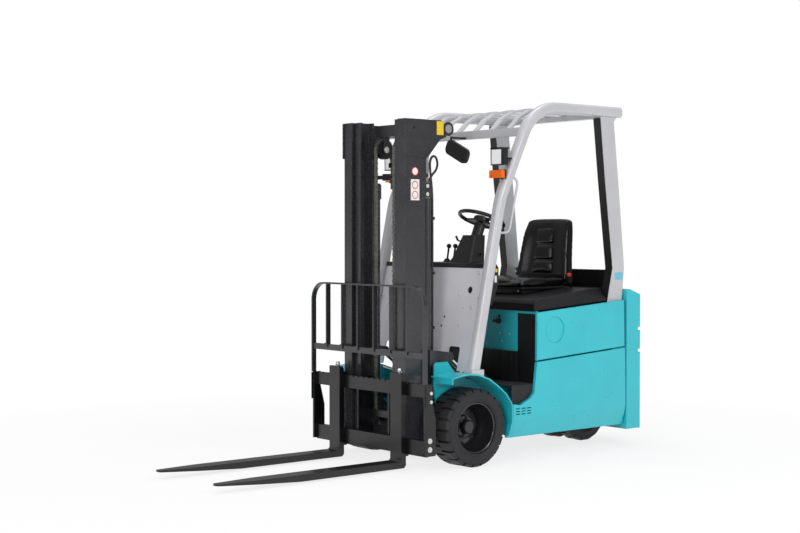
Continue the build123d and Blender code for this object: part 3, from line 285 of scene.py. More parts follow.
finishes = {
    "tealEnamel": ["front_frame", "fenders", "lower_body", "side_cover_left", "side_cover_right",
                   "bay_walls", "counterweight"],
    "silverEnamel": ["guard_frame", "rear_posts", "roof_bars", "grab_handle"],
    "cowlEnamel": ["cowl_panel"],
    "charcoalEnamel": ["outer_mast", "mast_top_frame", "inner_mast", "load_backrest", "lift_barrels"],
    "carriageEnamel": ["carriage", "fork_left", "fork_right", "tilt_barrel_left", "tilt_barrel_right",
                       "sheaves", "chain_anchors"],
    "blackEnamel": ["front_axle", "battery", "steer_mount", "steer_carrier", "rear_panel", "seat_base",
                    "lamp_brackets"],
    "rimEnamel": ["front_rim_left", "front_rim_right", "rear_rims"],
    "grainedPlastic": ["kick_panel", "dash_console", "work_lamps", "steering_column", "levers", "pedals",
                       "mirror", "rear_deck", "steering_wheel"],
    "hoodPlastic": ["hood"],
    "stepRubber": ["floor"],
    "seatVinyl": ["seat_cushion", "seat_back"],
    "tyreRubber": ["front_tyre_left", "front_tyre_right", "rear_tyres"],
    "chromePlate": ["lift_rods", "tilt_rod_left", "tilt_rod_right"],
    "chainSteel": ["chain_front_runs", "chain_rear_runs"],
    # painted glow: the indicator lenses shine a little of their own though they are off
    "amberPlastic": ["indicators"],
}


def finishNodes():
    for name, members in finishes.items():
        for member in members:
            data = nodes[member].data
            data.materials.clear()
            data.materials.append(materials[name])


# Mesh helpers: each adds one shape to a mesh, in millimetres from the front axle


def addBlock(mesh, low, high):
    low, high = at(*low), at(*high)
    place = Matrix.Translation((low + high) / 2) @ Matrix.Diagonal((*(high - low), 1))
    return bmesh.ops.create_cube(mesh, size=1, matrix=place)["verts"]


def addSideBlock(mesh, side, xs, ys, zs):
    # a block given for the left side, or its mirror image on the right
    low, high = sorted((side * xs[0], side * xs[1]))
    addBlock(mesh, (low, ys[0], zs[0]), (high, ys[1], zs[1]))


def addRod(mesh, start, end, radius, sides=20, endRadius=None):
    start, end = at(*start), at(*end)
    run = end - start
    place = Matrix.Translation((start + end) / 2) @ run.to_track_quat("Z", "Y").to_matrix().to_4x4()
    return bmesh.ops.create_cone(mesh, cap_ends=True, segments=sides, radius1=radius / 1000,
                                 radius2=(radius if endRadius is None else endRadius) / 1000,
                                 depth=run.length, matrix=place)["verts"]


def addBolt(mesh, foot, toward, radius=8, height=6):
    # hexagon head on a washer, with the shank's end showing
    foot, toward = Vector(foot), Vector(toward).normalized()
    addRod(mesh, foot - toward, foot + toward * 1.8, radius * 1.45, 20)
    addRod(mesh, foot, foot + toward * height, radius, 6)
    addRod(mesh, foot, foot + toward * (height + 1.5), radius * 0.55, 12, radius * 0.45)


def addRing(mesh, centre, axis, radius, profile, sides=64):
    # turn a closed profile of (along the axis, outwards) steps round an axis
    centre, axis = Vector(centre), Vector(axis).normalized()
    outwards = Vector((0, 0, 1)) if abs(axis.z) < 0.9 else Vector((0, 1, 0))
    outwards = (outwards - axis * outwards.dot(axis)).normalized()
    points = [centre + axis * run + outwards * (radius + rise) for run, rise in profile]
    verts = [mesh.verts.new(at(*point)) for point in points]
    edges = [mesh.edges.new((verts[i], verts[(i + 1) % len(verts)])) for i in range(len(verts))]
    bmesh.ops.spin(mesh, geom=verts + edges, cent=at(*centre), axis=axis, angle=2 * pi, steps=sides,
                   use_merge=True)


def addTube(mesh, points, radius):
    # a smooth round tube along a route
    curve = bpy.data.curves.new("route", "CURVE")
    curve.dimensions = "3D"
    curve.bevel_depth = radius / 1000
    curve.bevel_resolution = 3
    curve.resolution_u = 6
    curve.use_fill_caps = True
    spline = curve.splines.new("NURBS")
    spline.points.add(len(points) - 1)
    for point, place in zip(spline.points, points):
        point.co = (*at(*place), 1)
    spline.order_u = 3
    spline.use_endpoint_u = True
    obj = bpy.data.objects.new("route", curve)
    scene.collection.objects.link(obj)
    bpy.context.view_layer.update()
    data = bpy.data.meshes.new_from_object(obj.evaluated_get(bpy.context.evaluated_depsgraph_get()))
    mesh.from_mesh(data)
    bpy.data.objects.remove(obj)
    bpy.data.curves.remove(curve)
    bpy.data.meshes.remove(data)


def finishPiece(mesh, name, material, body, bevel=0.0, smooth=35):
    bmesh.ops.remove_doubles(mesh, verts=mesh.verts[:], dist=1e-6)
    bmesh.ops.recalc_face_normals(mesh, faces=mesh.faces[:])
    data = bpy.data.meshes.new(name)
    mesh.to_mesh(data)
    mesh.free()
    data.materials.append(materials[material])
    data.polygons.foreach_set("use_smooth", [True] * len(data.polygons))
    data.set_sharp_from_angle(angle=radians(smooth))
    piece = bpy.data.objects.new(name, data)
    scene.collection.objects.link(piece)
    if bevel:
        edge = piece.modifiers.new("edge", "BEVEL")
        edge.width = bevel / 1000
        edge.segments = 2
        edge.limit_method = "ANGLE"
        edge.harden_normals = True
    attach(piece, body)
    return piece


# Wheels: moulded sidewalls, bead rings, the dished rim's lip and its nuts

frontWheel = {
    "axle": (0, 228.5), "nuts": 6, "nutCircle": 53, "studs": 8, "studCircle": 100,
    "sidewall": 535, "wallRadius": 200,
    "wall": [(-3, -48), (1.5, -46), (2, -40), (-0.5, -37), (3, -32), (5.5, -22), (5, -8), (2.5, 3),
             (3.5, 6), (1, 9), (-3, 10)],
    "rimEdge": 517, "lipRadius": 149,
    "lip": [(-6, 2), (-6, -9), (6, -12), (11, -9), (13, -3), (11, 1), (6, 2)],
    "slopeRadius": 141.5,
    "slope": [(0, 0), (-34, -6), (-84, -14), (-104, -34), (-107, -34), (-107, -8), (-60, 0)],
    "dish": 411, "hubFace": 433, "hubRadius": 40,
    "hubRing": [(0, 0), (5, -2), (5, -8), (-2, -10), (-2, 0)],
}


def addBoltCircle(mesh, side, x, axle, count, circle, first, radius, height):
    # bolts evenly round an axle, with the first one turned by a share of the step
    for index in range(count):
        turn = 2 * pi * (index + first) / count
        foot = (side * x, axle[0] + circle * cos(turn), axle[1] + circle * sin(turn))
        addBolt(mesh, foot, (side, 0, 0), radius, height)


def addFrontWheel(side):
    v = frontWheel
    name = "left" if side > 0 else "right"
    body = "front_wheel_" + name
    out = (side, 0, 0)
    mesh = bmesh.new()
    addRing(mesh, (side * v["sidewall"], *v["axle"]), out, v["wallRadius"], v["wall"], 96)
    finishPiece(mesh, "tyreSidewall_" + name, "tyreRubber", body, smooth=50)
    mesh = bmesh.new()
    addRing(mesh, (side * v["rimEdge"], *v["axle"]), out, v["lipRadius"], v["lip"], 80)
    addRing(mesh, (side * v["rimEdge"], *v["axle"]), out, v["slopeRadius"], v["slope"], 80)
    addRing(mesh, (side * v["hubFace"], *v["axle"]), out, v["hubRadius"], v["hubRing"], 40)
    finishPiece(mesh, "rimLip_" + name, "rimEnamel", body, smooth=45)
    mesh = bmesh.new()
    addBoltCircle(mesh, side, v["hubFace"], v["axle"], v["nuts"], v["nutCircle"], 0.3, 9, 11)
    addBoltCircle(mesh, side, v["dish"], v["axle"], v["studs"], v["studCircle"], 0, 7, 7)
    finishPiece(mesh, "wheelNuts_" + name, "rimEnamel", body, bevel=0.6)


rearWheel = {
    "axle": (1305, 190), "face": 166, "wallRadius": 160, "hubFace": 109.5, "nuts": 6, "nutCircle": 62,
    "wall": [(-2, -58), (1.5, -56), (2.5, -46), (0, -42), (3.5, -36), (4.5, -20), (2, -8), (-2, -6)],
}


def addRearWheels():
    v = rearWheel
    rings = bmesh.new()
    nuts = bmesh.new()
    for side in (1, -1):
        addRing(rings, (side * v["face"], *v["axle"]), (side, 0, 0), v["wallRadius"], v["wall"], 72)
        addBoltCircle(nuts, side, v["hubFace"], v["axle"], v["nuts"], v["nutCircle"], 0, 8, 9)
    finishPiece(rings, "rearSidewalls", "tyreRubber", "rear_wheels", smooth=50)
    finishPiece(nuts, "rearNuts", "groundSteel", "rear_wheels", bevel=0.6)


# Leaf chains: plates on pins, from the carriage up over the sheaves and down to the anchors

chain = {
    "x": 85, "pitch": 15.875, "plateHeight": 14, "plate": 2.6, "pin": 2.6, "pinHalf": 12,
    "outerRows": (-9.6, -3.2, 3.2, 9.6), "innerRows": (-6.4, 0, 6.4),
    "sheaveY": -187, "sheaveZ": 1850, "sheaveRadius": 60.3, "bottom": 300, "anchor": 1775, "keep": 0.045,
}


def chainPoint(distance):
    # place and direction along the chain, measured up from the carriage
    v = chain
    y, z, radius = v["sheaveY"], v["sheaveZ"], v["sheaveRadius"]
    straight = z - v["bottom"]
    half = pi * radius
    if distance < straight:
        return (y - radius, v["bottom"] + distance), 0.0
    if distance < straight + half:
        turn = (distance - straight) / radius
        return (y - radius * cos(turn), z + radius * sin(turn)), turn
    return (y + radius, z - (distance - straight - half)), pi


def addLink(mesh, x, distance, outer):
    v = chain
    (y, z), turn = chainPoint(distance)
    (nextY, nextZ), nextTurn = chainPoint(distance + v["pitch"])
    centre = Matrix.Translation(at(x, (y + nextY) / 2, (z + nextZ) / 2))
    lean = Matrix.Rotation(-(turn + nextTurn) / 2, 4, "X")
    length, width = v["pitch"] + v["plateHeight"] * 0.8, v["plateHeight"]
    size = Matrix.Diagonal((length / 1000, width / 1000, v["plate"] / 1000, 1))
    for row in v["outerRows"] if outer else v["innerRows"]:
        aside = Matrix.Translation((row / 1000, 0, 0))
        plate = bmesh.ops.create_cone(mesh, cap_ends=True, segments=8, radius1=0.5, radius2=0.5, depth=1,
                                      matrix=size)
        bmesh.ops.transform(mesh, matrix=centre @ lean @ aside @ Matrix.Rotation(pi / 2, 4, "Y"),
                            verts=plate["verts"])
    addRod(mesh, (x - v["pinHalf"], y, z), (x + v["pinHalf"], y, z), v["pin"], 8)


def addChains():
    v = chain
    straight = v["sheaveZ"] - v["bottom"]
    total = straight + pi * v["sheaveRadius"] + v["sheaveZ"] - v["anchor"]
    frontCount = int(straight / v["pitch"])
    front, rear = bmesh.new(), bmesh.new()
    for side in (1, -1):
        for index in range(int(total / v["pitch"])):
            mesh = front if index < frontCount else rear
            addLink(mesh, side * v["x"], index * v["pitch"], index % 2 == 0)
    piece = finishPiece(front, "chainRuns", "chainSteel", "inner_mast")
    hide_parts("chain_front_runs")
    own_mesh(piece)
    piece = finishPiece(rear, "chainOverSheaves", "chainSteel", "inner_mast")
    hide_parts("chain_rear_runs")


# Mast: blank labels, lift pipes with their clips, clamp bolts, sheave hubs and the tube's end caps

mast = {
    "railX": 286, "gussetX": 294, "foil": 0.5,
    "yellow": ((-98, 1926), (-46, 2006)), "card": ((-289, 1543), (-225, 1664)),
    "ring": (-257, 1710, 23), "cardRings": ((-257, 1631, 21), (-257, 1574, 21)),
    "gussetHole": (-271, 1962, 8), "tube": (-7, 1964, 33),
    "clampBolts": ((-152, 1628), (-152, 1580)),
    "clampX": (256, 275), "clampY": (-170, -134), "clampZ": (1556, 1652), "hubs": ((112, 1), (58, -1)),
    "pipeX": 246, "pipeRadius": 7, "clips": (1440, 1120, 800, 520), "unions": ((-118, 1640), (-118, 470)),
    "pipe": ((-118, 1655), (-100, 1690), (-62, 1720), (-48, 1760), (-62, 1802), (-92, 1806), (-112, 1770),
             (-104, 1690), (-92, 1600), (-90, 1500), (-90, 1200), (-90, 800), (-92, 520), (-118, 470)),
}


def addMastLabels():
    v = mast
    railFace, gussetFace = v["railX"], v["gussetX"]
    mesh = bmesh.new()
    (y0, z0), (y1, z1) = v["yellow"]
    addBlock(mesh, (gussetFace - 1, y0, z0), (gussetFace + v["foil"], y1, z1))
    finishPiece(mesh, "gussetLabel", "yellowFoil", "outer_mast")
    mesh = bmesh.new()
    (y0, z0), (y1, z1) = v["card"]
    addBlock(mesh, (railFace - 1, y0, z0), (railFace + v["foil"], y1, z1))
    y, z, radius = v["ring"]
    addRod(mesh, (railFace - 1, y, z), (railFace + v["foil"], y, z), radius - 3, 40)
    finishPiece(mesh, "railLabels", "whiteFoil", "outer_mast")
    mesh = bmesh.new()
    for y, z, radius in (v["ring"], *v["cardRings"]):
        profile = [(-1, -2.5), (0.9, -2.5), (0.9, 2.5), (-1, 2.5)]
        addRing(mesh, (railFace, y, z), (1, 0, 0), radius, profile, 40)
    finishPiece(mesh, "railRings", "redFoil", "outer_mast")


def addMastFittings():
    v = mast
    face = v["gussetX"]
    steel, holeShades, bolts, hubs = bmesh.new(), bmesh.new(), bmesh.new(), bmesh.new()
    for side in (1, -1):
        y, z, radius = v["tube"]
        addRod(steel, (side * (face - 1), y, z), (side * (face + 3), y, z), radius - 8, 32)
        # painted shade: a thin near-black disc stands where the gusset's hole shows only shade inside
        y, z, radius = v["gussetHole"]
        addRod(holeShades, (side * (face - 1), y, z), (side * (face + 0.4), y, z), radius, 24)
        addSideBlock(steel, side, v["clampX"], v["clampY"], v["clampZ"])
        for y, z in v["clampBolts"]:
            addBolt(bolts, (side * v["clampX"][1], y, z), (side, 0, 0), 8, 7)
        for x, toward in v["hubs"]:
            addBolt(hubs, (side * x, chain["sheaveY"], chain["sheaveZ"]), (side * toward, 0, 0), 13, 8)
    finishPiece(steel, "tubeCaps", "greyFoil", "outer_mast", bevel=0.8)
    finishPiece(holeShades, "gussetHoleShades", "paintedHoleShade", "outer_mast")
    finishPiece(hubs, "sheaveHubs", "zincPlate", "inner_mast", bevel=0.8)
    pipes, clips = bmesh.new(), bmesh.new()
    x = v["pipeX"]
    addTube(pipes, [(x, y, z) for y, z in v["pipe"]], v["pipeRadius"])
    for z in v["clips"]:
        addBlock(clips, (x - 12, -180, z - 9), (x + 12, -80, z + 9))
        addBolt(bolts, (x, -80, z), (0, 1, 0), 6, 4)
    for y, z in v["unions"]:
        addRod(bolts, (x, y - 14, z), (x, y + 12, z), 11, 6)
    finishPiece(pipes, "liftPipes", "mouldedHose", "outer_mast", smooth=60)
    finishPiece(clips, "pipeClips", "carriageEnamel", "outer_mast", bevel=1.5)
    finishPiece(bolts, "mastBolts", "zincPlate", "outer_mast", bevel=0.5)


# Carriage: raised slot plates, galvanised bolts, welded feet on the backrest and the fork latches

carriage = {
    "sideX": 530, "bolts": ((-349, 453), (-349, 404), (-353, 184), (-353, 135)),
    "plate": ((-399, 338), (-338, 500)), "slotShades": ((-388, 450, 487), (-388, 375, 441)),
    "barX": 151.43, "barCount": 6, "crossTop": 680, "footY": -390,
    "forkX": 290, "latchY": -378, "latchZ": (519, 572), "capZ": (566, 580), "handleZ": 560,
}


def addCarriagePieces():
    v = carriage
    bolts, plates, slotShades, feet = bmesh.new(), bmesh.new(), bmesh.new(), bmesh.new()
    for side in (1, -1):
        for y, z in v["bolts"]:
            addBolt(bolts, (side * v["sideX"], y, z), (side, 0, 0), 11, 9)
        (y0, z0), (y1, z1) = v["plate"]
        addSideBlock(plates, side, (v["sideX"] - 1, v["sideX"] + 4), (y0, y1), (z0, z1))
        # painted shade: thin near-black strips stand for the shade inside the plates' slots
        for y, low, high in v["slotShades"]:
            addSideBlock(slotShades, side, (v["sideX"] + 3, v["sideX"] + 4.4), (y - 4, y + 4), (low, high))
    y, top = v["footY"], v["crossTop"]
    for index in range(v["barCount"]):
        x = (index - (v["barCount"] - 1) / 2) * v["barX"]
        addRod(feet, (x - 22, y, top - 2), (x, y + 2, top + 24), 5, 8)
        addRod(feet, (x - 34, y, top + 1), (x + 5, y, top + 1), 4, 8)
    finishPiece(bolts, "carriageBolts", "zincPlate", "carriage", bevel=0.8)
    finishPiece(plates, "slotPlates", "carriageEnamel", "carriage", bevel=1.2)
    finishPiece(slotShades, "plateSlotShades", "paintedHoleShade", "carriage")
    finishPiece(feet, "backrestFeet", "charcoalEnamel", "carriage", bevel=0.8)
    for name, side in (("left", 1), ("right", -1)):
        mesh = bmesh.new()
        x, y, handle = side * v["forkX"], v["latchY"], v["handleZ"]
        addRod(mesh, (x, y, v["latchZ"][0]), (x, y, v["latchZ"][1]), 9, 20)
        addRod(mesh, (x, y, v["capZ"][0]), (x, y, v["capZ"][1]), 13, 20, 10)
        addRod(mesh, (x - 20, y, handle), (x + 20, y, handle), 4.5, 12)
        finishPiece(mesh, "forkLatch_" + name, "groundSteel", "fork_" + name, bevel=0.6)


# Cowl and operator's place: fasteners, trim band, mats, small plates

cab = {
    "footY": 12, "footZ": 543, "lean": 0.20944, "halfWidth": 459,
    "cowlBolts": ((25, 1120), (410, 1120), (268, 990), (317, 917), (387, 917), (439, 970), (303, 812),
                  (-410, 1120), (-268, 990), (-317, 917), (-387, 917), (-439, 970)),
    "cowlHoleShades": ((165, 854), (148, 800), (-165, 854)), "band": (1147, 1174),
    "wallBolts": ((195, 739), (281, 737), (213, 693), (-195, 739), (-281, 737)),
    "wallY": 505.3, "matTop": 452, "studPitch": 15,
    "floorX": (-340, 340), "floorY": (304, 480), "stepX": (346, 506), "stepY": (302, 500),
    "patchX": (444.5, 446),
    "yellowPatch": ((228, 1123), (246, 1143)), "whitePatch": ((222, 1062), (240, 1102)),
    "knobX": 190, "knobZ": 814, "buttonX": 192, "buttonZ": 844,
}


def leanY(z):
    # front face of the cowl, which leans back
    return cab["footY"] + (z - cab["footZ"]) * cab["lean"]


def addPrism(mesh, outline, x0, x1):
    # a (y, z) outline carried along X between two values
    verts = [mesh.verts.new(at(x0, y, z)) for y, z in outline]
    grown = bmesh.ops.extrude_face_region(mesh, geom=[mesh.faces.new(verts)])
    moved = [item for item in grown["geom"] if isinstance(item, bmesh.types.BMVert)]
    bmesh.ops.translate(mesh, verts=moved, vec=((x1 - x0) / 1000, 0, 0))


dash = {
    "skin": 6.3, "top": 1172, "bottom": 880, "middle": 300, "end": 445, "noseX": (-290, 105),
    "deep": ((322, 1172), (336, 1150), (336, 1040), (300, 940), (262, 880)),
    "shallow": ((240, 1172), (258, 1150), (258, 1060), (206, 930), (196, 926)),
    "nose": ((300, 1172), (470, 1172), (480, 1160), (472, 1130), (336, 1080), (300, 1080)),
}


def addDash():
    # the console is deep between the legs' inner sides and shallow at its two ends
    v = dash
    mesh = bmesh.new()
    low, lowest = v["shallow"][-1][1], v["bottom"]
    upper = (leanY(v["top"]) + v["skin"], v["top"])
    deep = [upper, *v["deep"], (leanY(lowest) + v["skin"], lowest)]
    shallow = [upper, *v["shallow"], (leanY(low) + v["skin"], low)]
    addPrism(mesh, deep, -v["middle"], v["middle"])
    addPrism(mesh, shallow, v["middle"], v["end"])
    addPrism(mesh, shallow, -v["end"], -v["middle"])
    addPrism(mesh, v["nose"], *v["noseX"])
    piece = finishPiece(mesh, "dashShell", "grainedPlastic", "chassis", bevel=5)
    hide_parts("dash_console")


def addStuds(mesh, xs, ys, z):
    pitch = cab["studPitch"]
    for row in range(int((ys[1] - ys[0]) / pitch)):
        for column in range(int((xs[1] - xs[0]) / pitch)):
            x = xs[0] + (column + 0.5 + 0.5 * (row % 2)) * pitch
            y = ys[0] + (row + 0.5) * pitch
            if x < xs[1] - 4:
                addRod(mesh, (x, y, z - 0.5), (x, y, z + 2), 5, 6, 3.5)


def addCowlPieces():
    v = cab
    out = (0, -1, v["lean"])
    bolts, holeShades = bmesh.new(), bmesh.new()
    for x, z in v["cowlBolts"]:
        addBolt(bolts, (x, leanY(z), z), out, 8.5, 5)
    for x, z in v["wallBolts"]:
        addBolt(bolts, (x, v["wallY"], z), (0, -1, 0), 3.2, 3)
    # painted shade: thin near-black discs stand for the shade inside the cowl's holes
    for x, z in v["cowlHoleShades"]:
        foot = Vector((x, leanY(z), z))
        addRod(holeShades, foot, foot + Vector(out) * 0.5, 7, 20)
    finishPiece(bolts, "cowlBolts", "zincPlate", "chassis", bevel=0.5)
    finishPiece(holeShades, "cowlHoleShades", "paintedHoleShade", "chassis")
    mesh = bmesh.new()
    low, high = v["band"]
    verts = addBlock(mesh, (-v["halfWidth"], -2.5, low), (v["halfWidth"], 9, high))
    for vert in verts:
        vert.co.y += leanY(vert.co.z * 1000) / 1000
    finishPiece(mesh, "cowlBand", "grainedPlastic", "chassis", bevel=1.5)


def addFloorStuds():
    v = cab
    mesh = bmesh.new()
    addStuds(mesh, v["floorX"], v["floorY"], v["matTop"])
    for side in (1, -1):
        addStuds(mesh, sorted((side * v["stepX"][0], side * v["stepX"][1])), v["stepY"], v["matTop"])
    finishPiece(mesh, "floorStuds", "stepRubber", "chassis", smooth=20)


def addDashPatches():
    v = cab
    for name, material, patch in (("dashPatchYellow", "yellowFoil", v["yellowPatch"]),
                                  ("dashPatchWhite", "whiteFoil", v["whitePatch"])):
        (y0, z0), (y1, z1) = patch
        mesh = bmesh.new()
        addBlock(mesh, (v["patchX"][0], y0, z0), (v["patchX"][1], y1, z1))
        finishPiece(mesh, name, material, "chassis")


def addBayKnob():
    # a T handle with a button above it, on the kick panel
    x, z = cab["knobX"], cab["knobZ"]
    mesh = bmesh.new()
    addRod(mesh, (x, 504, z), (x, 482, z), 18, 32, 15)
    addBlock(mesh, (x - 30, 472, z - 8), (x + 30, 484, z + 8))
    x, z = cab["buttonX"], cab["buttonZ"]
    addRod(mesh, (x, 504, z), (x, 496, z), 9, 24)
    finishPiece(mesh, "bayKnob", "grainedPlastic", "chassis", bevel=2)


# Guard: lamp frames, mirror glass, the posts' front strips and patches

guard = {
    "lampX": (448, 540), "lampY": 190, "lampZ": (1752, 1848), "frame": 5, "indicatorZ": (1676, 1722),
    "mirrorCentre": (48, 285, 1852), "mirrorTurn": 25, "mirrorSize": (190, 78, 30), "mirrorFace": 11.2,
    "postX": (445, 505),
    "strip": ((1068, 2070), (1112, 1685), (1183, 1134), (1133, 915)),
    "patch": ((1204, 1060), (1276, 1106)),
}


def addLampPieces():
    v = guard
    frames, lenses, plates = bmesh.new(), bmesh.new(), bmesh.new()
    low, high = v["lampX"]
    bottom, top = v["lampZ"]
    t = v["frame"]
    front = v["lampY"] - 2.5
    for side in (1, -1):
        for xs, zs in (((low, high), (bottom, bottom + t)), ((low, high), (top - t, top)),
                       ((low, low + t), (bottom, top)), ((high - t, high), (bottom, top))):
            addSideBlock(frames, side, xs, (front, front + 14), zs)
        addSideBlock(lenses, side, (low + t, high - t), (front + 1, front + 6), (bottom + t, top - t))
        lowest, highest = v["indicatorZ"]
        addSideBlock(plates, side, (low - 9, high - 2), (v["lampY"] + 30, v["lampY"] + 40),
                     (lowest - 4, highest + 4))
    finishPiece(frames, "lampFrames", "grainedPlastic", "chassis", bevel=1.5)
    # painted glow: the lenses shine a little of their own though the lamps are off
    finishPiece(lenses, "lampLenses", "lampPlastic", "chassis", bevel=2)
    finishPiece(plates, "indicatorPlates", "grainedPlastic", "chassis", bevel=1.5)


def addMirrorGlass():
    v = guard
    mesh = bmesh.new()
    width, height, corner = v["mirrorSize"]
    flat = Matrix.Rotation(pi / 2, 4, "X") @ Matrix.Diagonal((width / 1000, height / 1000, 1, 1))
    bmesh.ops.create_grid(mesh, x_segments=1, y_segments=1, size=0.5, matrix=flat)
    bmesh.ops.bevel(mesh, geom=mesh.verts[:], offset=corner / 1000, affect="VERTICES", segments=8,
                    profile=0.5, material=-1)
    solid = bmesh.ops.extrude_face_region(mesh, geom=mesh.faces[:])
    moved = [item for item in solid["geom"] if isinstance(item, bmesh.types.BMVert)]
    bmesh.ops.translate(mesh, verts=moved, vec=(0, 0.002, 0))
    x, y, z = v["mirrorCentre"]
    centre = Matrix.Translation(at(x, y + v["mirrorFace"] - 1, z))
    turn = Matrix.Rotation(radians(v["mirrorTurn"]), 4, "Y")
    bmesh.ops.transform(mesh, matrix=centre @ turn, verts=mesh.verts[:])
    finishPiece(mesh, "mirrorGlassPlate", "mirrorGlass", "chassis")


def addPostPieces():
    v = guard
    for name, side in (("left", 1), ("right", -1)):
        mesh = bmesh.new()
        x0, x1 = sorted((side * v["postX"][0], side * v["postX"][1]))
        line = [mesh.verts.new(at(x0 + 1, y - 0.6, z)) for y, z in v["strip"]]
        edges = [mesh.edges.new(pair) for pair in zip(line, line[1:])]
        grown = bmesh.ops.extrude_edge_only(mesh, edges=edges)
        moved = [item for item in grown["geom"] if isinstance(item, bmesh.types.BMVert)]
        bmesh.ops.translate(mesh, verts=moved, vec=((x1 - x0 - 2) / 1000, 0, 0))
        bmesh.ops.recalc_face_normals(mesh, faces=mesh.faces[:])
        bmesh.ops.solidify(mesh, geom=mesh.faces[:], thickness=0.003)
        finishPiece(mesh, "postStrip_" + name, "grainedPlastic", "chassis", bevel=0.8)
    mesh = bmesh.new()
    (y0, z0), (y1, z1) = v["patch"]
    addBlock(mesh, (v["postX"][1] - 1, y0, z0), (v["postX"][1] + 0.6, y1, z1))
    finishPiece(mesh, "postPatch", "blueFoil", "chassis")


# Seat: foam pads swollen under their covers, sewn channels, piping, buckles and rails

seat = {
    "voxel": 0.006, "pressure": 3.0, "frames": 20, "evening": 12,
    "cushion": {"half": 236, "front": 650, "rear": 1038, "low": 1018, "top": 1058, "cap": 14},
    "cushionInsert": {"half": 128, "front": 664, "rear": 1030, "low": 1036, "top": 1070, "cap": 8},
    "back": {"low": 1040, "top": 1446, "halfLow": 230, "halfTop": 186, "thick": 66, "wing": 34, "cap": 12},
    "backInsert": {"low": 1090, "top": 1390, "halfLow": 116, "halfTop": 90, "thick": 44, "cap": 9},
    "pan": ((-226, 662, 1002), (226, 1040, 1018)),
    "shell": {"low": 1050, "top": 1404, "halfLow": 226, "halfTop": 170, "front": 50, "rear": 74, "wrap": 16},
    "rails": {"x": 150, "half": 14, "front": 664, "rear": 960, "low": 982, "top": 1003,
              "boltY": (690, 780), "boltZ": 992},
    "grooves": (1180, 1282), "grooveDepth": 0.012, "grooveWidth": 0.010,
    "pipe": ((-236, 1010, 1058), (-238, 880, 1056), (-238, 800, 1036), (-234, 720, 1026), (-196, 640, 1024),
             (0, 632, 1024), (196, 640, 1024), (234, 720, 1026), (238, 800, 1036), (238, 880, 1056),
             (236, 1010, 1058)),
    "pipeRadius": 4,
}


def backY(z):
    # front face of the backrest, which leans back
    return 1056 + (z - 1060) * 0.15


def even(mesh, rounds):
    # smooth a mesh by moving each point towards the middle of its neighbours
    for _ in range(rounds):
        bmesh.ops.smooth_vert(mesh, verts=mesh.verts[:], factor=0.5, use_axis_x=True, use_axis_y=True,
                              use_axis_z=True)


def blownRises(piece, mesh, cap):
    # how far each point rises under the cloth's pressure, held below a cap and evened over its neighbours
    cloth = piece.modifiers.new("fill", "CLOTH")
    cloth.settings.quality = 5
    cloth.settings.mass = 0.3
    cloth.settings.tension_stiffness = 15
    cloth.settings.compression_stiffness = 15
    cloth.settings.bending_stiffness = 0.5
    cloth.settings.use_pressure = True
    cloth.settings.uniform_pressure_force = seat["pressure"]
    cloth.settings.effector_weights.gravity = 0
    for frame_number in range(1, seat["frames"] + 1):
        scene.frame_set(frame_number)
    blown = piece.evaluated_get(bpy.context.evaluated_depsgraph_get()).to_mesh()
    moves = [last.co - first.co for first, last in zip(mesh.verts, blown.vertices)]
    piece.modifiers.clear()
    scene.frame_set(1)
    drift = sum(moves, Vector()) / len(moves)
    rises = [max((move - drift).dot(vert.normal), 0) for move, vert in zip(moves, mesh.verts)]
    print(piece.name, "rise: mean", round(sum(rises) / len(rises), 4), "most", round(max(rises), 4))
    rises = [cap * (1 - exp(-rise / cap)) for rise in rises]
    near = [[edge.other_vert(vert).index for edge in vert.link_edges] for vert in mesh.verts]
    for _ in range(seat["evening"]):
        means = [sum(rises[other] for other in others) / len(others) for others in near]
        rises = [(rise + mean) / 2 for rise, mean in zip(rises, means)]
    return rises


def swollen(name, shape, cap, grooves=()):
    # a closed form, remeshed, blown up by cloth pressure up to a cap, then sewn in at its channels
    mesh = bmesh.new()
    bmesh.ops.create_cube(mesh, size=2)
    bmesh.ops.subdivide_edges(mesh, edges=mesh.edges[:], cuts=9, use_grid_fill=True)
    for vert in mesh.verts:
        vert.co = at(*shape(*vert.co))
    bmesh.ops.recalc_face_normals(mesh, faces=mesh.faces[:])
    data = bpy.data.meshes.new(name)
    mesh.to_mesh(data)
    mesh.free()
    piece = bpy.data.objects.new(name, data)
    scene.collection.objects.link(piece)
    remesh = piece.modifiers.new("voxels", "REMESH")
    remesh.mode = "VOXEL"
    remesh.voxel_size = seat["voxel"]
    bpy.context.view_layer.update()
    fine = bpy.data.meshes.new_from_object(piece.evaluated_get(bpy.context.evaluated_depsgraph_get()))
    piece.modifiers.clear()
    piece.data = fine
    mesh = bmesh.new()
    mesh.from_mesh(fine)
    even(mesh, 16)
    mesh.to_mesh(fine)
    mesh.normal_update()
    for vert, rise in zip(list(mesh.verts), blownRises(piece, mesh, cap / 1000)):
        vert.co += vert.normal * rise
    even(mesh, 6)
    mesh.to_mesh(fine)
    mesh.free()
    for level in grooves:
        for vert in fine.vertices:
            away = (vert.co.z - level / 1000) / seat["grooveWidth"]
            if vert.normal.y < -0.2 and abs(away) < 3:
                vert.co.y += seat["grooveDepth"] * exp(-away * away)
    fine.polygons.foreach_set("use_smooth", [True] * len(fine.polygons))
    fine.materials.clear()
    fine.materials.append(materials["seatVinyl"])
    finer = piece.modifiers.new("finer", "SUBSURF")
    finer.levels = 1
    finer.render_levels = 1
    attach(piece, "hood_and_seat")
    return piece


def mixed(low, high, share):
    # between two values, as the share goes from -1 to 1
    return low + (high - low) * (share + 1) / 2


